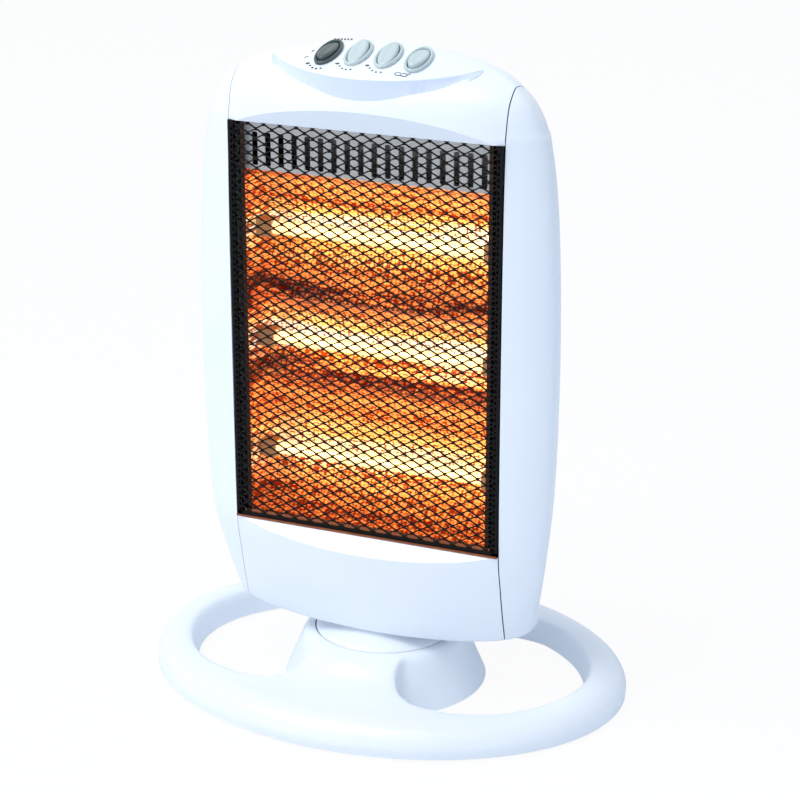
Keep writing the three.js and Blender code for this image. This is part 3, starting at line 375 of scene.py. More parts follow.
# Across the ring: share of the way from its inner to its outer edge, share of its height.
ring_section = [
    (0, -0.3), (0, 0), (0.08, 0.66), (0.17, 0.94), (0.34, 1), (0.52, 0.98),
    (0.72, 0.87), (0.89, 0.64), (1, 0.32), (0.975, 0), (0.975, -0.3),
]
around = np.linspace(0, -2 * math.pi, 200, endpoint=False)
ring_loops = []
for across, up in ring_section:
    half_x, half_y = (
        half - (1 - across) * width for half, width in zip(RING_HALF, RING_WIDTH)
    )
    z = RIM_LIFT + up * (RING_HEIGHT - RIM_LIFT)
    ring_loops.append([(half_x * math.cos(a), half_y * math.sin(a), z) for a in around])
ring_form = skin("ring_form", ring_loops, ring=True)
BELOW, ABOVE = -5, 60
EDGE = 5
cone_form = turned("cone_form", [
    (0, BELOW), (CONE_FOOT + 1.6, BELOW), (CONE_TOP + EDGE * 0.33, PEDESTAL_TOP - EDGE),
    (CONE_TOP, PEDESTAL_TOP - EDGE * 0.45), (CONE_TOP - EDGE * 0.7, PEDESTAL_TOP),
    (0, PEDESTAL_TOP),
])
# Round the pedestal the apron falls from its top to the ring: radius and share of the fall.
fall = [(60, 1), (67, 0.92), (73, 0.76), (80, 0.53), (88, 0.32), (99, 0.14), (118, 0.02)]
drop = PEDESTAL_TOP - RING_HEIGHT
radii = np.linspace(fall[0][0], fall[-1][0], 24)
shares = smooth_through([r for r, _ in fall], [s for _, s in fall], radii)
fall_form = turned("fall_form", [
    (0, BELOW), (RING_HALF[0], BELOW), (RING_HALF[0], RING_HEIGHT - 1.2),
    *[(r, RING_HEIGHT + s * drop) for r, s in zip(radii[::-1], shares[::-1])],
    (0, PEDESTAL_TOP),
])
crest = [half - width + FLARE_CREST for half, width in zip(RING_HALF, RING_WIDTH)]
flare_y = crest[1] * math.sqrt(1 - (FLARE_HALF / crest[0]) ** 2)
apron_end = RING_HALF[1] - RING_WIDTH[1] / 2


def apron_side(sx, sy):
    """From the waist beside the cone out to the ring."""
    waist = (sx * WAIST_HALF, SWING_Y + sy * WAIST_REACH)
    return [waist] + bezier(
        waist,
        (sx * WAIST_HALF, sy * (flare_y + 1.3 * FLARE_SWEEP)),
        (sx * (FLARE_HALF - FLARE_SWEEP), sy * (flare_y + FLARE_SWEEP)),
        (sx * FLARE_HALF, sy * flare_y),
    )


plan = apron_side(1, 1) + [(FLARE_HALF, apron_end), (-FLARE_HALF, apron_end)]
plan += apron_side(-1, 1)[::-1] + apron_side(-1, -1)
plan += [(-FLARE_HALF, -apron_end), (FLARE_HALF, -apron_end)] + apron_side(1, -1)[::-1]
apron_form = outline_prism("apron_form", plan, BELOW + 1, PEDESTAL_TOP + 5)
middle_line = [
    ((RING_HALF[0] - RING_WIDTH[0] / 2) * math.cos(a),
     (RING_HALF[1] - RING_WIDTH[1] / 2) * math.sin(a))
    for a in -around
]
combine(apron_form, fall_form, "INTERSECT")
combine(apron_form, outline_prism("ring_middle", middle_line, BELOW, ABOVE), "INTERSECT")
base = merged("base_moulding", ring_form, cone_form, apron_form)
# Fused and smoothed, the three forms flow into each other like one moulding.
with_modifier(base, "REMESH", mode="VOXEL", voxel_size=2.0)
with_modifier(base, "SMOOTH", factor=0.5, iterations=9)
recess_floor, recess_radius = PEDESTAL_TOP - RECESS_DEPTH, NECK_RADIUS + RECESS_GAP
combine(
    base,
    turned("neck_recess", [
        (0, recess_floor), (recess_radius, recess_floor),
        (recess_radius, PEDESTAL_TOP + 9), (0, PEDESTAL_TOP + 9),
    ], 160),
    "DIFFERENCE",
)


def trim(made, point, normal, fill=False):
    """Takes off what lies beyond a plane, on the side its normal points to."""
    def cut(shape):
        everything = shape.verts[:] + shape.edges[:] + shape.faces[:]
        result = bmesh.ops.bisect_plane(
            shape, geom=everything, plane_co=point, plane_no=normal, clear_outer=True,
            dist=1e-4,
        )
        if fill:
            edges = [e for e in result["geom_cut"] if isinstance(e, bmesh.types.BMEdge)]
            bmesh.ops.holes_fill(shape, edges=edges, sides=0)

    return reshape(made, cut)


trim(base, (0, 0, RIM_LIFT), (0, 0, -1))
with_modifier(base, "SOLIDIFY", thickness=WALL, offset=-1, use_even_offset=True)


def finish(made, body, paint, *replaced, sharp=32):
    """Scales the piece to metres, smooths its shading, paints it and mounts it."""
    made.data.transform(Matrix.Scale(MM, 4))
    made.data.materials.clear()
    made.data.materials.append(paint)
    for face in made.data.polygons:
        face.material_index = 0
    made.data.shade_smooth()
    made.data.set_sharp_from_angle(angle=math.radians(sharp))
    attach(made, body)
    if replaced:
        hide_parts(*replaced)
    return made


finish(base, "base", white_abs, "base_shell")

# ---- Neck ----
# The turning neck is a white ABS cup with a low dome: a dark line shows where its edge
# runs in the pedestal's recess. The head is screwed to its upper rim.
NECK_UNDER = recess_floor + 0.9
NECK_WAIST = 33.4
NECK_TOP = 59.7
BORE, JOURNAL, JOURNAL_FOOT = 12, 16, 23.2
neck_profile = [
    (BORE, JOURNAL_FOOT), (JOURNAL, JOURNAL_FOOT), (JOURNAL, NECK_UNDER),
    (NECK_RADIUS - 0.5, NECK_UNDER),
    (NECK_RADIUS, NECK_UNDER + 0.5), (NECK_RADIUS, NECK_UNDER + 2),
    (NECK_RADIUS - 0.3, NECK_UNDER + 2.4), (NECK_RADIUS - 1.1, NECK_UNDER + 2.9),
    (NECK_RADIUS - 2.7, NECK_UNDER + 3.7), (NECK_RADIUS - 4.6, NECK_UNDER + 4.5),
    (NECK_RADIUS - 9.5, NECK_UNDER + 6.2), (NECK_RADIUS - 15, NECK_UNDER + 7.8),
    (NECK_WAIST + 1.4, NECK_UNDER + 9.4), (NECK_WAIST, NECK_UNDER + 11.4),
    (NECK_WAIST, NECK_TOP), (NECK_WAIST - 3, NECK_TOP), (NECK_WAIST - 3, NECK_UNDER + 7.4),
    (NECK_RADIUS - 15, NECK_UNDER + 4.6), (JOURNAL, NECK_UNDER + 3), (BORE, NECK_UNDER + 3),
]
neck = turned("neck", neck_profile, 160, closed=True)
finish(neck, "head", white_abs, "neck_turntable", sharp=50)

# ---- Head housing ----
# Five white ABS mouldings that share one rounded form: a top fascia with the switch deck,
# a chin, two side shells and a back cover. Fine dark seams part them.
SEAM_HALF = 107.8
SPLIT_Y = 12
WINDOW_TOP, WINDOW_BOTTOM = 441.7, 131.3
MESH_Y = -39.5
BROW = (11.5, 17.3)
SILL = (12.8, -12.3)
HEAD_TOP = 500
NECK_HOLE = 34
AROUND_HEAD = 152
# Stations up the head: height at the middle, fall at the seams, half width, then y of
# the front, of the widest line and of the back, and the power that rounds the front. As
# all the head's sizes in y, they are taken from the swing axis, HEAD_Y.
HEAD_Y = SWING_Y
stations = np.array([
    (52, -5, 119.5, -36, 6, 38, 0.6),
    (54, -5, 122.5, -38.2, 6, 40, 0.62),
    (75, -3, 127, -42.8, -5, 42, 0.84),
    (100, -1, 132, -47.5, -12, 43, 1),
    (131.3, 0, 137, -52.3, -18, 44, 1.11),
    (175, 0, 141, -52.3, -18, 44, 1.11),
    (225, 0, 142.8, -52.3, -18, 44, 1.11),
    (275, 0, 143.2, -52.3, -18, 44, 1.11),
    (330, 0, 142.3, -52.3, -18, 44, 1.11),
    (380, 0, 140, -52.3, -18, 44, 1.11),
    (415, 0, 136.8, -52.3, -18, 43.5, 1.11),
    (442, 0, 132.3, -52.3, -18, 43, 1.11),
    (459, 6, 129.2, -50.5, -18, 41, 1.11),
    (471.5, 4.5, 121.8, -46, -19, 37.5, 1.11),
    (479, 3, 112, -37.5, -18, 33, 1.11),
    (489, 7, 100, -24, -12, 26, 1.11),
    (495, 9.5, 78, -13, -4, 18, 1.11),
    (499, 16, 50, -3, 2, 10, 1.11),
])


def head_loop(station, share=1.0, lift=0.0):
    height, arch, half, front, widest, back, power = station
    loop = []
    for angle in np.linspace(0, 2 * math.pi, AROUND_HEAD, endpoint=False):
        across, deep = math.cos(angle), math.sin(angle)
        if deep > 0:
            x = half * math.copysign(abs(across) ** (2 / 3), across)
            y = widest + (back - widest) * deep
        else:
            x = half * across
            y = widest + (front - widest) * abs(deep) ** power
        x, y = share * x, share * y
        loop.append((x, y + HEAD_Y, height + lift - arch * (x / SEAM_HALF) ** 2))
    return loop


heights = np.concatenate(
    [np.linspace(a, b, 5, endpoint=False) for a, b in zip(stations[:-1, 0], stations[1:, 0])]
    + [stations[-1:, 0]]
)
columns = [smooth_through(stations[:, 0], stations[:, i], heights) for i in range(7)]
head_loops = [head_loop(stations[0], share) for share in (0.15, 0.45, 0.75, 0.92)]
head_loops += [head_loop(station) for station in zip(*columns)]
head_loops += [
    head_loop(stations[-1], share, 1 - share ** 2) for share in (0.85, 0.65, 0.4, 0.15)
]
head_form = skin(
    "head_form", head_loops,
    ((0, HEAD_Y, stations[0, 0]), (0, HEAD_Y, HEAD_TOP)),
)

# The deck: its front edge is an arc seen from above, its face arched and tilted back.
DECK_RADIUS, DECK_FRONT_Y, DECK_FRONT_Z = 112, -48, 482.8
DECK_SLOPE = math.tan(math.radians(19.7))
DECK_ARCH, DECK_HALF = 502, 82


def deck_height(x, y):
    return DECK_FRONT_Z + DECK_SLOPE * (y - DECK_FRONT_Y) - x ** 2 / (2 * DECK_ARCH)


ARC_Y = DECK_FRONT_Y + DECK_RADIUS
END_Y = ARC_Y - math.sqrt(DECK_RADIUS ** 2 - DECK_HALF ** 2)
RISER_HEIGHT, RISER_REACH = 17.8, 0.5
LENS_STEPS = 64
LENS_MIDDLE = -24
under_skin = BVHTree.FromPolygons(
    [v.co.copy() for v in head_form.data.vertices],
    [tuple(f.vertices) for f in head_form.data.polygons],
)


def settle(x, y, swell, back):
    """How far the deck's face comes down to meet the rounded skin behind it.

    Along the front edge that fades out from each tip of the lens."""
    if not back:
        x, y = math.copysign(DECK_HALF, x), END_Y
    struck = under_skin.ray_cast(Vector((x, y + HEAD_Y, 600)), Vector((0, 0, -1)))[0]
    gap = struck.z - deck_height(x, y)
    return gap if back else gap * max(0, 1 - swell / 0.4) ** 2


def lens_ring(flared, height, inward=0.0):
    """The deck's outline, its front half an arc or, flared, the riser's foot."""
    ring = []
    for i in range(2 * LENS_STEPS):
        angle = math.pi * i / LENS_STEPS
        x = -DECK_HALF * math.cos(angle)
        swell = abs(math.sin(angle))
        back = i > LENS_STEPS
        edge_y = ARC_Y - math.sqrt(DECK_RADIUS ** 2 - x ** 2)
        y = edge_y
        if back:
            y = END_Y * (x / DECK_HALF) ** 2
        elif flared:
            y = END_Y - (END_Y - DECK_FRONT_Y + RISER_REACH) * swell
        z = height(x, y if back else edge_y, swell, back)
        drawn_in = inward * min(1, 4 * swell ** 2)
        x -= drawn_in * x / DECK_RADIUS
        y += -drawn_in if back else drawn_in * (ARC_Y - y) / DECK_RADIUS
        ring.append((x, y + HEAD_Y, z))
    return ring


def on_face(points, share):
    """The ring drawn in towards the deck's middle, on its face."""
    drawn = []
    for x, y, z in points:
        settled = z - deck_height(x, y - HEAD_Y)
        x, y = share * x, LENS_MIDDLE + share * (y - HEAD_Y - LENS_MIDDLE)
        drawn.append((x, y + HEAD_Y, deck_height(x, y) + settled * share ** 8))
    return drawn


def lens_skin(name, rings, low, high):
    return skin(name, rings, [(0, HEAD_Y + LENS_MIDDLE, z) for z in (low, high)])


def edge_height(x, y, swell, back, fall):
    """The deck's edge, lowered by a fall that fades out at the lens's tips."""
    return deck_height(x, y) + settle(x, y, swell, back) - fall * min(1, 3 * swell)


LENS_FLOOR = WINDOW_TOP + 14
CLEAR_FROM, CLEAR_TO = LENS_FLOOR + 12, HEAD_TOP + 30
clearance = [lens_ring(False, lambda *at: z, 0.5) for z in (CLEAR_FROM, CLEAR_TO)]
combine(head_form, lens_skin("over_deck", clearance, CLEAR_FROM, CLEAR_TO), "DIFFERENCE")
# The edge is rounded: how far in each ring lies and how far it falls below the face.
RIM = [(0, 1.3), (0.1, 0.8), (0.38, 0.38), (0.8, 0.1), (1.3, 0)]
RIM_FALL, FOOT_OVERLAP = 1.4, 0.06
deck_rings = [
    lens_ring(True, lambda *at: LENS_FLOOR),
    lens_ring(True, lambda x, y, swell, back: (
        LENS_FLOOR + 1 if back
        else edge_height(x, y, swell, back, RIM_FALL) - FOOT_OVERLAP
        - RISER_HEIGHT * swell ** 1.5
    )),
]
for inward, fall in RIM:
    deck_rings.append(lens_ring(False, lambda x, y, swell, back: (
        LENS_FLOOR + 3 - fall if back and fall > 0.5
        else edge_height(x, y, swell, back, fall)
    ), inward))
outermost = deck_rings[-1]
deck_rings += [on_face(outermost, share) for share in (
    0.97, 0.93, 0.88, 0.82, 0.75, 0.6, 0.45, 0.3, 0.15,
)]
deck_lens = lens_skin("deck_lens", deck_rings, LENS_FLOOR, deck_height(0, LENS_MIDDLE))
# The crescent under the deck is painted shade: matt, a little bluer and darker than the white.
painted_shade_abs = mottled(
    "white_abs_painted_shade", ("D3DCF6", "DAE3F9"), (0.5, 0.58), 40, 0.6, 10, ior=1.54
)
hole_mark = bpy.data.materials.new("hole_mark")
HOLE, RISER = 1, 2


def marked(made, index=0):
    """Gives a part of the head its three materials, which tell its faces apart: white ABS, the
    hole mark and painted shade.
    """
    for held in (white_abs, hole_mark, painted_shade_abs):
        made.data.materials.append(held)
    for face in made.data.polygons:
        face.material_index = index
    return made


marked(head_form)
marked(deck_lens)
# The riser's faces take the painted shade.
ring_size = 2 * LENS_STEPS
for face in deck_lens.data.polygons[ring_size:2 * ring_size]:
    face.material_index = RISER
combine(head_form, deck_lens, "UNION")

SWITCH_PITCH, SWITCH_Y = 23.3, -18.4
BEZEL_WIDTH, BEZEL_LENGTH, BEZEL_EDGE = 18.5, 34, 2.4
TILT = Matrix.Rotation(math.radians(19.7), 4, "X")


def deck_place(x, y):
    """A frame on the deck: x across it, y up its slope, z out of its face."""
    roll = Matrix.Rotation(math.asin(x / DECK_ARCH), 4, "Y")
    return Matrix.Translation((x, y + HEAD_Y, deck_height(x, y))) @ TILT @ roll


def on_deck(number):
    return deck_place((number - 2.5) * SWITCH_PITCH, SWITCH_Y)


def oval(width, length, count=72):
    angles = np.linspace(0, 2 * math.pi, count, endpoint=False)
    return [(width / 2 * math.cos(a), length / 2 * math.sin(a)) for a in angles]


def rounded_box_outline(width, height, radius, steps=6):
    """An anticlockwise outline with rounded corners."""
    outline = []
    for sx, sy, start in ((1, -1, -90), (1, 1, 0), (-1, 1, 90), (-1, -1, 180)):
        for step in range(steps + 1):
            angle = math.radians(start + 90 * step / steps)
            outline.append((
                sx * (width / 2 - radius) + radius * math.cos(angle),
                sy * (height / 2 - radius) + radius * math.sin(angle),
            ))
    return outline


def through_back(name, outline, x, z, low, high):
    """A prism along Y, over an outline in X and Z."""
    made = outline_prism(name, outline, low, high)
    made.data.transform(
        Matrix.Translation((x, 0, z)) @ Matrix.Rotation(math.pi / 2, 4, "X")
        @ Matrix.Scale(-1, 4, (0, 0, 1))
    )
    made.data.flip_normals()
    return made


# Wells for the switches, the neck's hole and two groups of vents: lowest row, rows.
WELL_SMALLER = 2.2
holes = []
for number in (1, 2, 3, 4):
    well = outline_prism(
        "well", oval(BEZEL_WIDTH - WELL_SMALLER, BEZEL_LENGTH - WELL_SMALLER, 48), -12, 8
    )
    well.data.transform(on_deck(number))
    holes.append(well)
holes.append(turned("neck_hole", [
    (0, 30), (NECK_HOLE, 30), (NECK_HOLE, 90), (0, 90),
], 96))
VENT_WIDTH, VENT_HEIGHT, VENT_PITCH, VENT_X = 69, 5, 12, 37.5
for first, rows in ((330, 6), (96, 4)):
    for row in range(rows):
        for side in (-1, 1):
            holes.append(through_back(
                "vent", rounded_box_outline(VENT_WIDTH, VENT_HEIGHT, 2.2, 4),
                side * VENT_X, first + row * VENT_PITCH + VENT_HEIGHT / 2, 15, 60,
            ))
openings = marked(merged("openings", *holes), HOLE)
GRIP_WIDTH, GRIP_HEIGHT, GRIP_FLOOR_Y, GRIP_Z = 96, 26, 19, 455
grip = through_back(
    "grip", rounded_box_outline(GRIP_WIDTH, GRIP_HEIGHT, 6), 0, GRIP_Z, GRIP_FLOOR_Y, 60
)
combine(head_form, openings, "DIFFERENCE")
combine(head_form, marked(grip), "DIFFERENCE")

# Each moulding is what planes leave of the form: some close the cut, the rest leave the
# shell open there, half a seam short of its neighbour.
half_gap = 0.36
facets = {
    "brow": (Vector((0, MESH_Y + HEAD_Y, WINDOW_TOP)), Vector((0, -BROW[1], -BROW[0]))),
    "sill": (Vector((0, MESH_Y + HEAD_Y, WINDOW_BOTTOM)), Vector((0, SILL[1], SILL[0]))),
}
centre_cuts = [
    ((SEAM_HALF - half_gap, 0, 0), (1, 0, 0)), ((half_gap - SEAM_HALF, 0, 0), (-1, 0, 0)),
]
front_cuts = centre_cuts + [((0, SPLIT_Y - half_gap + HEAD_Y, 0), (0, 1, 0))]
mouldings = {
    "top_fascia": ([facets["brow"], ((0, 0, WINDOW_TOP), (0, 0, -1))], front_cuts),
    "chin_panel": ([facets["sill"]], front_cuts + [((0, 0, WINDOW_BOTTOM), (0, 0, 1))]),
    "back_cover": ([], centre_cuts + [((0, SPLIT_Y + half_gap + HEAD_Y, 0), (0, -1, 0))]),
    "right_side_shell": ([], [((SEAM_HALF + half_gap, 0, 0), (-1, 0, 0))]),
    "left_side_shell": ([], [((-SEAM_HALF - half_gap, 0, 0), (1, 0, 0))]),
}
for name, (filled, opened) in mouldings.items():
    moulding = mesh_object(name + "_moulding", [], [])
    moulding.data = head_form.data.copy()
    for point, normal in filled:
        trim(moulding, point, normal, fill=True)
    for point, normal in opened:
        trim(moulding, point, normal)
    reshape(moulding, lambda shape: bmesh.ops.delete(
        shape, geom=[f for f in shape.faces if f.material_index == HOLE], context="FACES"
    ))
    with_modifier(moulding, "SOLIDIFY", thickness=WALL, offset=-1, use_even_offset=False)
    # The riser's faces keep their painted shade through the cuts.
    riser = [f.index for f in moulding.data.polygons if f.material_index == RISER]
    finish(moulding, "head", white_abs, name)
    if riser:
        moulding.data.materials.append(painted_shade_abs)
    for index in riser:
        moulding.data.polygons[index].material_index = 1
bpy.data.objects.remove(head_form)

# ---- Switches ----
# Four oval rockers of moulded ABS in matching bezels, clipped into wells in the deck. The
# first is dark, the others grey-green; the second and third are switched on.
grey_switch = mottled(
    "grey_moulded_abs", ("BFCCCC", "CCD8D8"), (0.3, 0.38), 25, 0.8, 5, ior=1.54
)
# The same plastic, dyed dark: its gloss shows as a soft pale streak along the rim.
dark_switch = mottled(
    "dark_moulded_abs", ("3A484A", "4A5A5C"), (0.26, 0.34), 25, 0.8, 5, ior=1.54
)
BEZEL_TOP = 2.5
WELL_DEPTH = 8
PIN_Z = 0.4
ROCKER_TILT = 8
ROCKER_GAP = 0.5


def oval_skin(name, profile, middle=None, closed=False):
    """A skin over ovals, each given by its inset from the bezel's rim and its height."""
    loops = []
    for inset, height in profile:
        outline = oval(BEZEL_WIDTH - 2 * inset, BEZEL_LENGTH - 2 * inset)
        loops.append([(x, y, height) for x, y in outline])
    poles = (None, None) if closed else ((0, 0, profile[0][1]), (0, 0, middle))
    return skin(name, loops, poles, ring=closed)


for number in (1, 2, 3, 4):
    paint = dark_switch if number == 1 else grey_switch
    bezel = oval_skin(f"bezel_{number}", [
        (1.6, -WELL_DEPTH - 6), (1.4, 0.3), (0, 0.3), (0, 1.1), (0.15, 1.7), (0.55, 2.2),
        (1.1, BEZEL_TOP), (1.6, 2.4), (2.05, 2.1), (2.3, 1.6), (2.4, 1), (2.4, -WELL_DEPTH),
        (2.4, -WELL_DEPTH - 6),
    ], closed=True)
    bezel.data.transform(on_deck(number))
    finish(bezel, "head", paint, f"switch_{number}_bezel", sharp=60)
    edge = BEZEL_EDGE + ROCKER_GAP
    rocker = oval_skin(f"rocker_{number}", [
        (edge + 1.2, -4.6), (edge + 0.2, -3.4), (edge, 1.6), (edge + 0.1, 2.2),
        (edge + 0.4, 2.75), (edge + 0.9, 3.15), (edge + 1.6, 3.35), (edge + 2.6, 3.4),
        (edge + 4, 3.3), (edge + 5.4, 3.2),
    ], 3.1)
    half_length = BEZEL_LENGTH / 2 - edge
    for vertex in rocker.data.vertices:
        if vertex.co.z > 0:
            vertex.co.z -= 0.7 * (vertex.co.y / half_length) ** 4
    turn = ROCKER_TILT if number in (2, 3) else -ROCKER_TILT
    rocker.data.transform(
        on_deck(number) @ Matrix.Translation((0, 0, PIN_Z))
        @ Matrix.Rotation(math.radians(turn), 4, "X")
    )
    finish(rocker, f"rocker_{number}", paint, f"switch_{number}_rocker", sharp=60)

# ---- Marks on the deck ----
# Plain grey-green symbols pad-printed beside the switches: a dot and four small squares
# under each of the first three, and an arrowed loop for the swing under the fourth.
ink = mottled("pad_printed_ink", ("2E3434", "444C4C"), (0.45, 0.55), 6, 0.3, 2)
INK_THICK = 0.12


def print_on_deck(x, y, outline):
    """A flat mark whose face lies just over the deck."""
    mark = outline_prism("mark", outline, -0.5, INK_THICK)
    mark.data.transform(deck_place(x, y))
    return mark


def bar(width, length, turn=0.0):
    """A small oblong outline, turned by an angle."""
    c, s = math.cos(turn), math.sin(turn)
    corners = [(-1, -1), (1, -1), (1, 1), (-1, 1)]
    return [
        (sx * width / 2 * c - sy * length / 2 * s, sx * width / 2 * s + sy * length / 2 * c)
        for sx, sy in corners
    ]


# Under the first three switches a dot and four squares on an arc.
marks = []
for number in (1, 2, 3):
    middle = (number - 2.5) * SWITCH_PITCH
    marks.append(print_on_deck(middle - 10.5, SWITCH_Y - 13.5, oval(3.4, 2.2, 20)))
    for step in range(4):
        swing = math.radians(-128 + 17 * step)
        marks.append(print_on_deck(
            middle + 12 * math.cos(swing), SWITCH_Y - 1 + 19.5 * math.sin(swing),
            bar(1.5, 1.3, swing),
        ))
# Under the fourth a loop of short bars in two humps, with an arrow's head.
swing_middle = 1.5 * SWITCH_PITCH - 5.5
for hump, (start, end) in ((-2.3, (60, 330)), (2.3, (-150, 120))):
    for step in range(9):
        angle = math.radians(start + (end - start) * step / 8)
        marks.append(print_on_deck(
            swing_middle + hump + 2.3 * math.cos(angle),
            SWITCH_Y - 19.3 + 1.7 * math.sin(angle), bar(0.55, 1.9, angle),
        ))
marks.append(print_on_deck(swing_middle + 5.6, SWITCH_Y - 17.4, bar(2, 0.8, 0.7)))
# Beside the first, two ticks, and behind it a dotted line.
first = -1.5 * SWITCH_PITCH
marks.append(print_on_deck(first - 15.5, SWITCH_Y - 5, bar(3.2, 0.8, 0.3)))
marks.append(print_on_deck(first - 14, SWITCH_Y + 3, bar(1, 2.6, -0.5)))
for step in range(6):
    marks.append(print_on_deck(first - 4 + 2.6 * step, SWITCH_Y + 19.3, bar(1.3, 0.9)))
finish(merged("deck_marks", *marks), "head", ink)

# ---- Reflector ----
# Bright aluminium sheet with a hammered pattern, pressed into three troughs behind the
# lamps. Its colour is painted light, which the sheet also gives off though it is no lamp: a
# painted reflection of the lamps, near-white beside a lamp and orange between the lamps,
# with painted shade, dark, along the two ridges.
WINDOW_HEIGHT = WINDOW_TOP - WINDOW_BOTTOM
LAMP_SHARES = (0.724, 0.447, 0.16)
LAMP_Y = -10
REFLECTOR_HALF = 98.5
trough_edges = [
    WINDOW_BOTTOM + 3.7, WINDOW_BOTTOM + 0.353 * WINDOW_HEIGHT,
    WINDOW_BOTTOM + 0.556 * WINDOW_HEIGHT, WINDOW_TOP - 37.7,
]
trough_lips = [-28, -14, -14, -28]
TROUGH_BACK = 10
line = []
for trough in range(3):
    for share in np.linspace(0, 1, 28, endpoint=trough == 2):
        lip = trough_lips[trough] + share * (trough_lips[trough + 1] - trough_lips[trough])
        z = trough_edges[trough] + share * (trough_edges[trough + 1] - trough_edges[trough])
        line.append((lip + (TROUGH_BACK - lip) * math.sin(math.pi * share) ** 0.8, z))
columns_across = np.linspace(-REFLECTOR_HALF, REFLECTOR_HALF, 12)
sheet_points = [(x, y + HEAD_Y, z) for y, z in line for x in columns_across]
sheet_faces = []
for row in range(len(line) - 1):
    for i in range(len(columns_across) - 1):
        a = row * len(columns_across) + i
        sheet_faces.append((a, a + 1, a + 1 + len(columns_across), a + len(columns_across)))
reflector = mesh_object("hammered_reflector", sheet_points, sheet_faces)
SHEET = 0.8
with_modifier(reflector, "SOLIDIFY", thickness=SHEET, offset=-1, use_even_offset=True)


def outward(made):
    """Turns every face of a closed mesh outwards, its doubles merged first."""
    def turn(shape):
        bmesh.ops.remove_doubles(shape, verts=shape.verts[:], dist=1e-5)
        bmesh.ops.recalc_face_normals(shape, faces=shape.faces[:])

    return reshape(made, turn)


def upright_sheet(name, outline, x, other_x):
    """A sheet between two places in x, over an outline in Y and Z."""
    count = len(outline)
    points = [(place, y + HEAD_Y, z) for place in (x, other_x) for y, z in outline]
    ends = [tuple(range(count)), tuple(range(count, 2 * count))]
    return outward(mesh_object(name, points, strip_faces(2, count) + ends))


# Its ends are closed by flat cheeks of the same sheet, cut out for the lamps.
CHEEK_FRONT = -34
CAP_HALF = 6.8
cheek_outline = line[::-1] + [(CHEEK_FRONT, line[0][1]), (CHEEK_FRONT, line[-1][1])]
cheeks = []
for side in (-1, 1):
    x = side * (REFLECTOR_HALF - 0.3)
    cheek = upright_sheet("cheek", cheek_outline, x, x - SHEET * side)
    for at in LAMP_SHARES:
        y, z = LAMP_Y + HEAD_Y, WINDOW_BOTTOM + at * WINDOW_HEIGHT
        gap = outline_prism("gap", [
            (x - 3, y - CAP_HALF), (x + 3, y - CAP_HALF),
            (x + 3, y + CAP_HALF), (x - 3, y + CAP_HALF),
        ], z - CAP_HALF, z + CAP_HALF)
        combine(cheek, gap, "DIFFERENCE")
    cheeks.append(cheek)
reflector = merged("hammered_reflector_sheet", reflector, *cheeks)

# The sheet gives off its painted glow as emission, in place of reflecting the lamps.
hammered_painted_glow, tree, sockets, place = principled(
    "hammered_aluminium_painted_glow",
    {"Metallic": 1, "Roughness": 0.24, "Emission Strength": 0.85},
)


def stretched(factors):
    """Object coordinates, scaled along each axis."""
    return add_node(
        tree, "ShaderNodeVectorMath", {"operation": "MULTIPLY"},
        inputs={1: factors}, links={0: place},
    ).outputs[0]


# Long uneven streaks along the lamps shift the painted glow bands up and down.
height = add_node(tree, "ShaderNodeSeparateXYZ", links={0: place}).outputs["Z"]
streaks = add_node(
    tree, "ShaderNodeTexNoise", inputs={"Scale": 1, "Detail": 5, "Roughness": 0.6},
    links={"Vector": stretched((9, 30, 95))},
).outputs["Fac"]
wander = ranged(tree, streaks, -0.012, 0.012, start=0.3, end=0.7)
level = add_node(
    tree, "ShaderNodeMath", {"operation": "ADD"}, links={0: height, 1: wander}
).outputs[0]
share = ranged(tree, level, 0, 1, start=WINDOW_BOTTOM * MM, end=WINDOW_TOP * MM)
painted_glow_bands = add_node(tree, "ShaderNodeValToRGB", links={0: share})
# The painted glow by height: painted reflections of the lamps and painted shade at the ridges.
painted_glow_stops = [
    (0.0, "A8522A"), (0.05, "D87838"), (0.11, "F2A45C"), (0.16, "FFE8B4"), (0.2, "F6B868"),
    (0.27, "EC8E48"), (0.31, "F4A658"), (0.338, "D8743A"), (0.353, "6A3426"),
    (0.376, "84402C"), (0.396, "F4A458"), (0.447, "FFF6DA"), (0.485, "FAC878"),
    (0.525, "EC8A44"), (0.548, "B8582E"), (0.558, "6A3426"), (0.582, "7A3A28"),
    (0.605, "E47C3C"), (0.65, "F4A050"), (0.7, "FAD084"), (0.726, "FFF6D8"), (0.752, "FACC74"),
    (0.8, "E88040"), (0.832, "F6B062"), (0.88, "B04E24"),
]
# A ramp holds up to 32 colours; its first two stops are there from the start.
ramp = painted_glow_bands.color_ramp
for i, (at, colour) in enumerate(painted_glow_stops):
    stop = ramp.elements[i] if i < 2 else ramp.elements.new(at)
    stop.position = at
    stop.color = linear(colour)
# The hammer's facets: oblong dimples about 3 mm by 2 mm, with painted shade as dark dashes
# between them and a painted glint in the middle of each.
facets_made = add_node(
    tree, "ShaderNodeTexVoronoi", {"feature": "F1"},
    inputs={"Scale": 1, "Randomness": 0.55}, links={"Vector": stretched((300, 90, 470))},
).outputs["Distance"]
painted_glow_colour = painted_glow_bands.outputs[0]
for how, tone, most, start, end in (
    ("MULTIPLY", "8A3418", 0.95, 0.44, 0.66), ("SCREEN", "F0A040", 0.75, 0.3, 0.05),
):
    strength = ranged(
        tree, facets_made, 0, most, {"interpolation_type": "SMOOTHSTEP"}, start=start, end=end
    )
    painted_glow_colour = add_node(
        tree, "ShaderNodeMix", {"data_type": "RGBA", "blend_type": how},
        inputs={7: linear(tone)}, links={0: strength, 6: painted_glow_colour},
    ).outputs[2]


def shining(tree, sockets, colour):
    """The surface has this colour and gives it off."""
    for label in ("Base Color", "Emission Color"):
        tree.links.new(colour, sockets[label])


shining(tree, sockets, painted_glow_colour)
dented(tree, sockets, facets_made, 0.0006)
finish(reflector, "head", hammered_painted_glow, "reflector", sharp=50)
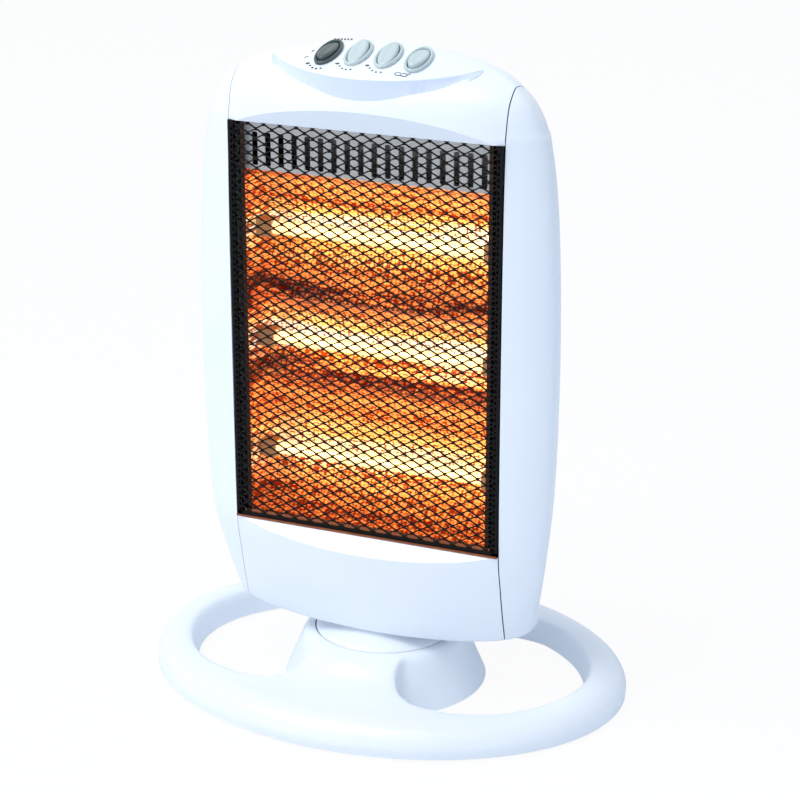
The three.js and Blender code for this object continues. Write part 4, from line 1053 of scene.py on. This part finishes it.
# The back of the sheet is left as rolled: dull, cool grey, with no glow.
rolled_aluminium = mottled(
    "rolled_aluminium", ("6E7074", "85878B"), (0.4, 0.55), 15, 0.5, 4, metallic=1
)
reflector.data.materials.append(rolled_aluminium)
for face in reflector.data.polygons:
    across, deep = face.normal.x, face.normal.y
    outside_cheek = abs(across) > 0.9 and across * face.center.x > 0
    if deep > 0.05 or outside_cheek:
        face.material_index = 1

# ---- Lamps ----
# Three halogen lamps lie in the troughs: a clear quartz tube with a fine coiled tungsten
# filament, held at both ends in tan ceramic caps. All three are lit.
TUBE_HALF = 88
# Fused quartz, drawn as a tube: clear and glossy, warmed by the light inside it.
quartz, tree, sockets, place = principled("drawn_clear_quartz", {
    "IOR": 1.46, "Transmission Weight": 0.85, "Roughness": 0.05, "Emission Strength": 0.5,
})
haze = noise(tree, place, 120, 3)
shining(tree, sockets, mixed(tree, haze, ("FFD88A", "FFF6DC")))
# Tungsten wire at working heat: it shines yellow-white, a little redder at its ends.
glowing, tree, sockets, place = principled("glowing_tungsten_wire", {
    "Metallic": 1, "Roughness": 0.45, "Emission Strength": 6,
})
along = add_node(tree, "ShaderNodeSeparateXYZ", links={0: place}).outputs["X"]
reach = add_node(
    tree, "ShaderNodeMath", {"operation": "ABSOLUTE"}, links={0: along}
).outputs[0]
coolness = ranged(tree, reach, 0, 1, start=0.072, end=TUBE_HALF * MM)
shining(tree, sockets, mixed(tree, coolness, ("FFE9A8", "E8672A")))


def node_group(name, **kinds):
    """A geometry node tree with these named inputs, and its inputs as seen inside it."""
    made = bpy.data.node_groups.new(name, "GeometryNodeTree")
    for label, kind in {"Geometry": "Geometry", **kinds}.items():
        label = label.replace("_", " ")
        made.interface.new_socket(label, in_out="INPUT", socket_type="NodeSocket" + kind)
    made.interface.new_socket("Geometry", in_out="OUTPUT", socket_type="NodeSocketGeometry")
    return made, add_node(made, "NodeGroupInput").outputs


def real_and_painted(tree, geometry, paint):
    """Ends a tree with real geometry in one material."""
    real = add_node(tree, "GeometryNodeRealizeInstances", links={"Geometry": geometry})
    painted = add_node(
        tree, "GeometryNodeSetMaterial", links={"Geometry": real.outputs[0], "Material": paint}
    )
    add_node(tree, "NodeGroupOutput", links={0: painted.outputs[0]})


coil_tree, given = node_group(
    "coiled_wire", Turns="Float", Coil_Radius="Float", Wire_Radius="Float", Length="Float",
    Paint="Material",
)
spiral = add_node(coil_tree, "GeometryNodeCurveSpiral", inputs={"Resolution": 10}, links={
    "Rotations": given["Turns"], "Start Radius": given["Coil Radius"],
    "End Radius": given["Coil Radius"], "Height": given["Length"],
})
wire_round = add_node(
    coil_tree, "GeometryNodeCurvePrimitiveCircle", inputs={"Resolution": 5},
    links={"Radius": given["Wire Radius"]},
)
wire = add_node(
    coil_tree, "GeometryNodeCurveToMesh", inputs={"Fill Caps": True},
    links={"Curve": spiral.outputs[0], "Profile Curve": wire_round.outputs[0]},
)
real_and_painted(coil_tree, wire.outputs[0], given["Paint"])


def by_nodes(made, tree, values):
    """Runs a node tree over the object with these inputs and keeps its mesh."""
    change = made.modifiers.new("made_by_nodes", "NODES")
    change.node_group = tree
    for item in tree.interface.items_tree:
        if item.item_type == "SOCKET" and item.in_out == "INPUT" and item.name in values:
            change[item.identifier] = values[item.name]
    return applied(made)


TO_X = Matrix.Rotation(math.pi / 2, 4, "Y")
tube_end = [(4, 0.2), (4.3, 0), (4.8, 0), (5, 0.3)]  # radius and distance from the end
tube_profile = [(radius, inset - TUBE_HALF) for radius, inset in tube_end]
tube_profile += [(radius, TUBE_HALF - inset) for radius, inset in tube_end[::-1]]
for number, at in enumerate(LAMP_SHARES, 1):
    lie = Matrix.Translation((0, LAMP_Y + HEAD_Y, WINDOW_BOTTOM + at * WINDOW_HEIGHT)) @ TO_X
    tube = turned(f"quartz_tube_{number}", tube_profile, 32, centre=(0, 0), closed=True)
    tube.data.transform(lie)
    finish(tube, "head", quartz, f"lamp_tube_{number}")
    coil = outward(by_nodes(mesh_object(f"filament_coil_{number}", [], []), coil_tree, {
        "Turns": 95.0, "Coil Radius": 1.25, "Wire Radius": 0.36, "Length": 2.0 * TUBE_HALF,
        "Paint": glowing,
    }))
    coil.data.transform(lie @ Matrix.Translation((0, 0, -TUBE_HALF)))
    finish(coil, "head", glowing, f"lamp_filament_{number}", sharp=180)


def repaint(paint, *names):
    """Gives CAD nodes that keep their shape their real finish."""
    for name in names:
        for held in nodes[name].material_slots:
            held.material = paint


# Pressed and fired steatite: matt, with a dry, sandy grain; beside the lamps it is stained
# tan by the heat.
steatite = mottled(
    "heat_stained_steatite", ("C08A58", "DCB07C"), (0.6, 0.75), 5, 0.25, 12, ior=1.6
)
repaint(steatite, "terminal_block", *[
    f"lamp_cap_{side}_{number}" for side in ("right", "left") for number in (1, 2, 3)
])

# ---- Slot panel ----
# A flat grey painted sheet that closes the space over the reflector. A row of upright
# slots is punched in it to let the heat out.
# Its tones are paler than the grey sheet: painted light, against the shade it lies in.
grey_paint_painted_light = mottled(
    "grey_stoved_paint_painted_light", ("DAD6D1", "E9E6E1"), (0.4, 0.5), 12, 0.5, 5, ior=1.5
)
PANEL_Y = -30
PANEL_TOP, PANEL_BOTTOM = WINDOW_TOP - 0.05, WINDOW_TOP - 37.55
SLOT_PITCH, SLOT_WIDTH, SLOT_HEIGHT, SLOT_COUNT = 10.6, 4.5, 25, 18
SLOT_MIDDLE = PANEL_TOP - 37.5 / 2 - 3

row_tree, given = node_group(
    "rows_of_units", Columns="Int", Rows="Int", Pitch_Across="Vector", Pitch_Up="Vector",
    Paint="Material",
)
repeated = given["Geometry"]
for count, pitch in (("Columns", "Pitch Across"), ("Rows", "Pitch Up")):
    spots = add_node(row_tree, "GeometryNodeMeshLine", {"mode": "OFFSET"}, links={
        "Count": given[count], "Offset": given[pitch],
    })
    repeated = add_node(row_tree, "GeometryNodeInstanceOnPoints", links={
        "Points": spots.outputs[0], "Instance": repeated,
    }).outputs[0]
real_and_painted(row_tree, repeated, given["Paint"])


def in_rows(unit, columns, rows, across, up, paint):
    """The unit repeated in columns and rows, as one mesh."""
    return by_nodes(unit, row_tree, {
        "Columns": columns, "Rows": rows, "Pitch Across": (across, 0, 0),
        "Pitch Up": (0, 0, up), "Paint": paint,
    })


def prism_along_y(name, outline, x, z, low, high):
    return outward(through_back(name, outline, x, z, low, high))


slot = prism_along_y(
    "slot", rounded_box_outline(SLOT_WIDTH, SLOT_HEIGHT, 1.2, 3),
    -(SLOT_COUNT - 1) / 2 * SLOT_PITCH, SLOT_MIDDLE, PANEL_Y + HEAD_Y - 5,
    PANEL_Y + HEAD_Y + 5,
)
slots = in_rows(slot, SLOT_COUNT, 1, SLOT_PITCH, 1, grey_paint_painted_light)
panel = prism_along_y(
    "punched_panel",
    rounded_box_outline(2 * REFLECTOR_HALF, PANEL_TOP - PANEL_BOTTOM, 1.5, 3),
    0, (PANEL_TOP + PANEL_BOTTOM) / 2, PANEL_Y + HEAD_Y, PANEL_Y + HEAD_Y + SHEET,
)
combine(panel, slots, "DIFFERENCE")
finish(panel, "head", grey_paint_painted_light, "slot_panel")

# ---- Guard ----
# Black expanded steel: a slit and stretched sheet whose slanting strands meet in knots. It
# is welded into side strips with returns, and its top edge is cut through the diamonds.
# Stoved enamel on steel: near-black, dulled by the heat, a little uneven in thickness.
black_enamel = mottled(
    "black_stoved_enamel", ("040404", "0C0B0A"), (0.5, 0.65), 4, 0.4, 8, ior=1.5
)
enamel_sockets = black_enamel.node_tree.nodes["Principled BSDF"].inputs
enamel_sockets["Specular IOR Level"].default_value = 0.15
GUARD_HALF = SEAM_HALF - 0.5
SIDE_STRIP = 4.4
GUARD_THICK = 1.2
DIAMOND = (13.006, 7.32)
GUARD_LOW, GUARD_HIGH = WINDOW_BOTTOM + 1.75, WINDOW_TOP - 0.05
guard_y = MESH_Y + HEAD_Y

# One strand runs up from a knot to the next and down again: across, up, width.
strand_line = [
    (-0.5, 0.05, 1.8), (-0.41, 0.12, 1.15), (-0.1, 0.42, 1.15), (0, 0.45, 1.8),
    (0.1, 0.42, 1.15), (0.41, 0.12, 1.15), (0.5, 0.05, 1.8),
]
half_units = []
for shift in (0, 0.5):
    loops = []
    for across, up, width in strand_line:
        x = (across + shift) * DIAMOND[0]
        z = (up + shift) * DIAMOND[1]
        half_width = width / 2
        # The section leans, as the slit edge twists when the sheet is stretched.
        loops.append([
            (x, 0, z - half_width * 0.8), (x, GUARD_THICK * 0.35, z - half_width),
            (x, GUARD_THICK, z + half_width * 0.8), (x, GUARD_THICK * 0.65, z + half_width),
        ])
    strand = mesh_object("strand", [p for loop in loops for p in loop], strip_faces(7, 4) + [
        (3, 2, 1, 0), (24, 25, 26, 27),
    ])
    half_units.append(strand)
unit = outward(merged("unit", *half_units))
columns_wide = math.ceil(2 * (GUARD_HALF - SIDE_STRIP) / DIAMOND[0]) + 2
rows_high = math.ceil((GUARD_HIGH - GUARD_LOW) / DIAMOND[1]) + 2
unit.data.transform(Matrix.Translation((
    -(columns_wide - 1) / 2 * DIAMOND[0], guard_y, GUARD_LOW - DIAMOND[1],
)))
guard = in_rows(unit, columns_wide, rows_high, *DIAMOND, black_enamel)
# The mesh runs 1 mm under each side strip.
for point, normal in (
    ((GUARD_HALF - SIDE_STRIP + 1, 0, 0), (1, 0, 0)),
    ((SIDE_STRIP - 1 - GUARD_HALF, 0, 0), (-1, 0, 0)),
    ((0, 0, GUARD_LOW), (0, 0, -1)), ((0, 0, GUARD_HIGH), (0, 0, 1)),
):
    trim(guard, point, normal, fill=True)

frame_parts = [guard]
GUARD_RETURN = 9
HOLES_HIGH, HOLE_PITCH = 68, 4.45
for side in (-1, 1):
    outer, inner = side * GUARD_HALF, side * (GUARD_HALF - SIDE_STRIP)
    fold = side * (GUARD_HALF - GUARD_THICK)
    angle_iron = [
        (outer, guard_y), (outer, guard_y + GUARD_RETURN), (fold, guard_y + GUARD_RETURN),
        (fold, guard_y + GUARD_THICK), (inner, guard_y + GUARD_THICK), (inner, guard_y),
    ]
    strip = outward(outline_prism("strip", angle_iron, GUARD_LOW, GUARD_HIGH))
    perforation = prism_along_y(
        "perforation", rounded_box_outline(1.5, 2.6, 0.5, 2), side * (GUARD_HALF - 3),
        GUARD_LOW + 4, guard_y - 3, guard_y + 4,
    )
    perforations = in_rows(perforation, 1, HOLES_HIGH, 1, HOLE_PITCH, black_enamel)
    combine(strip, perforations, "DIFFERENCE")
    frame_parts.append(strip)
foot_bar = outward(outline_prism("foot_bar", [
    (-GUARD_HALF, guard_y), (GUARD_HALF, guard_y),
    (GUARD_HALF, guard_y + GUARD_THICK), (-GUARD_HALF, guard_y + GUARD_THICK),
], GUARD_LOW, GUARD_LOW + 2.4))
frame_parts.append(foot_bar)
finish(merged("expanded_guard", *frame_parts), "head", black_enamel, "guard_mesh")

# The rail under the guard is a folded steel strip, tinted copper-brown by the heat.
tinted_steel = mottled(
    "heat_tinted_steel", ("7A4630", "B06C48"), (0.3, 0.45), 9, 0.5, 5, metallic=0.9
)
repaint(tinted_steel, "guard_rail")

# ---- Lamp brackets ----
# Two upright sheets, folded at the front, the back and the foot, that carry the lamps and
# the reflector between them. They are blackened steel, mottled with brown as painted glow
# from the lamps.
black_steel_painted_glow = mottled(
    "black_steel_painted_glow_finish", ("1C0F0A", "4A2414"), (0.35, 0.5), 8, 0.5, 6, metallic=0.5
)
BRACKET_X, BRACKET_FOOT, BRACKET_TOP = 99, 61.4, WINDOW_TOP - 0.05
BRACKET_BACK = 24
# The web's lower front corner is cut away to clear the chin.
web = [
    (-20, BRACKET_FOOT), (BRACKET_BACK, BRACKET_FOOT), (BRACKET_BACK, BRACKET_TOP),
    (-36, BRACKET_TOP), (-36, 136), (-34, 126), (-29.5, 100), (-24.5, 75),
]
for side, label in ((1, "right"), (-1, "left")):
    sheets = [upright_sheet("web", web, side * BRACKET_X, side * (BRACKET_X + SHEET))]
    for x0, y0, y1, z0, z1 in (
        (BRACKET_X - 3, -36, -36 + SHEET, 137, BRACKET_TOP),
        (BRACKET_X - 8, BRACKET_BACK - SHEET, BRACKET_BACK, BRACKET_FOOT, BRACKET_TOP),
        (BRACKET_X - 8, LAMP_Y, BRACKET_BACK, BRACKET_FOOT, BRACKET_FOOT + SHEET),
    ):
        xs = sorted((side * x0, side * (BRACKET_X + SHEET)))
        sheets.append(outward(outline_prism("fold", [
            (xs[0], y0 + HEAD_Y), (xs[1], y0 + HEAD_Y), (xs[1], y1 + HEAD_Y),
            (xs[0], y1 + HEAD_Y),
        ], z0, z1)))
    bracket = merged(f"folded_bracket_{label}", *sheets)
    finish(bracket, "head", black_steel_painted_glow, f"lamp_bracket_{label}")

# ---- Steel inside the head ----
# Pressed and zinc-plated: the chassis plate that carries the lamps' brackets, its screws
# and the shield that keeps the heat off the back cover.
# Bright zinc plating: cool grey metal with a soft cloudy spangle.
zinc_plate = mottled(
    "zinc_plated_steel", ("9DA1A6", "C6C9CD"), (0.28, 0.45), 7, 0.6, 4, metallic=1
)
repaint(zinc_plate, "chassis_plate", "heat_shield", *[
    f"chassis_screw_{number}" for number in (1, 2, 3)
])
# Glass-filled nylon: black, matt, with a coarse moulded grain.
black_nylon = mottled(
    "black_moulded_nylon", ("17181A", "232426"), (0.5, 0.62), 10, 0.6, 14, ior=1.53
)
repaint(black_nylon, "thermal_cutout", "tilt_switch", "cord_gland")

# ---- Swing drive ----
# A small geared motor under the pedestal turns a pinion against a toothed sector on the
# neck's journal, which runs in an acetal bush and on a slide washer.
# Moulded acetal: milky white, waxy, and slightly glossy where it slides.
acetal = mottled(
    "moulded_acetal", ("E2E3DC", "EEEEE8"), (0.3, 0.42), 8, 0.5, 4, ior=1.48
)
repaint(acetal, "journal_bush", "slide_washer", "sector_gear", "motor_pinion")
repaint(
    zinc_plate, "swing_motor", "motor_screw_1", "motor_screw_2", "neck_retainer",
    *[f"cover_screw_{number}" for number in (1, 2, 3, 4)],
)

# ---- Bottom cover and feet ----
# A white moulded disc closes the pedestal from below. Four black rubber pads, pressed
# into the ring's underside, keep the moulding off the floor.
repaint(white_abs, "base_bottom_cover")
# Moulded rubber: charcoal black, dull, with a dusty fine grain.
rubber = mottled(
    "moulded_black_rubber", ("232426", "303134"), (0.8, 0.92), 6, 0.4, 20, ior=1.52
)
repaint(rubber, *[
    f"rubber_foot_{end}_{side}" for end in ("front", "back") for side in ("right", "left")
])
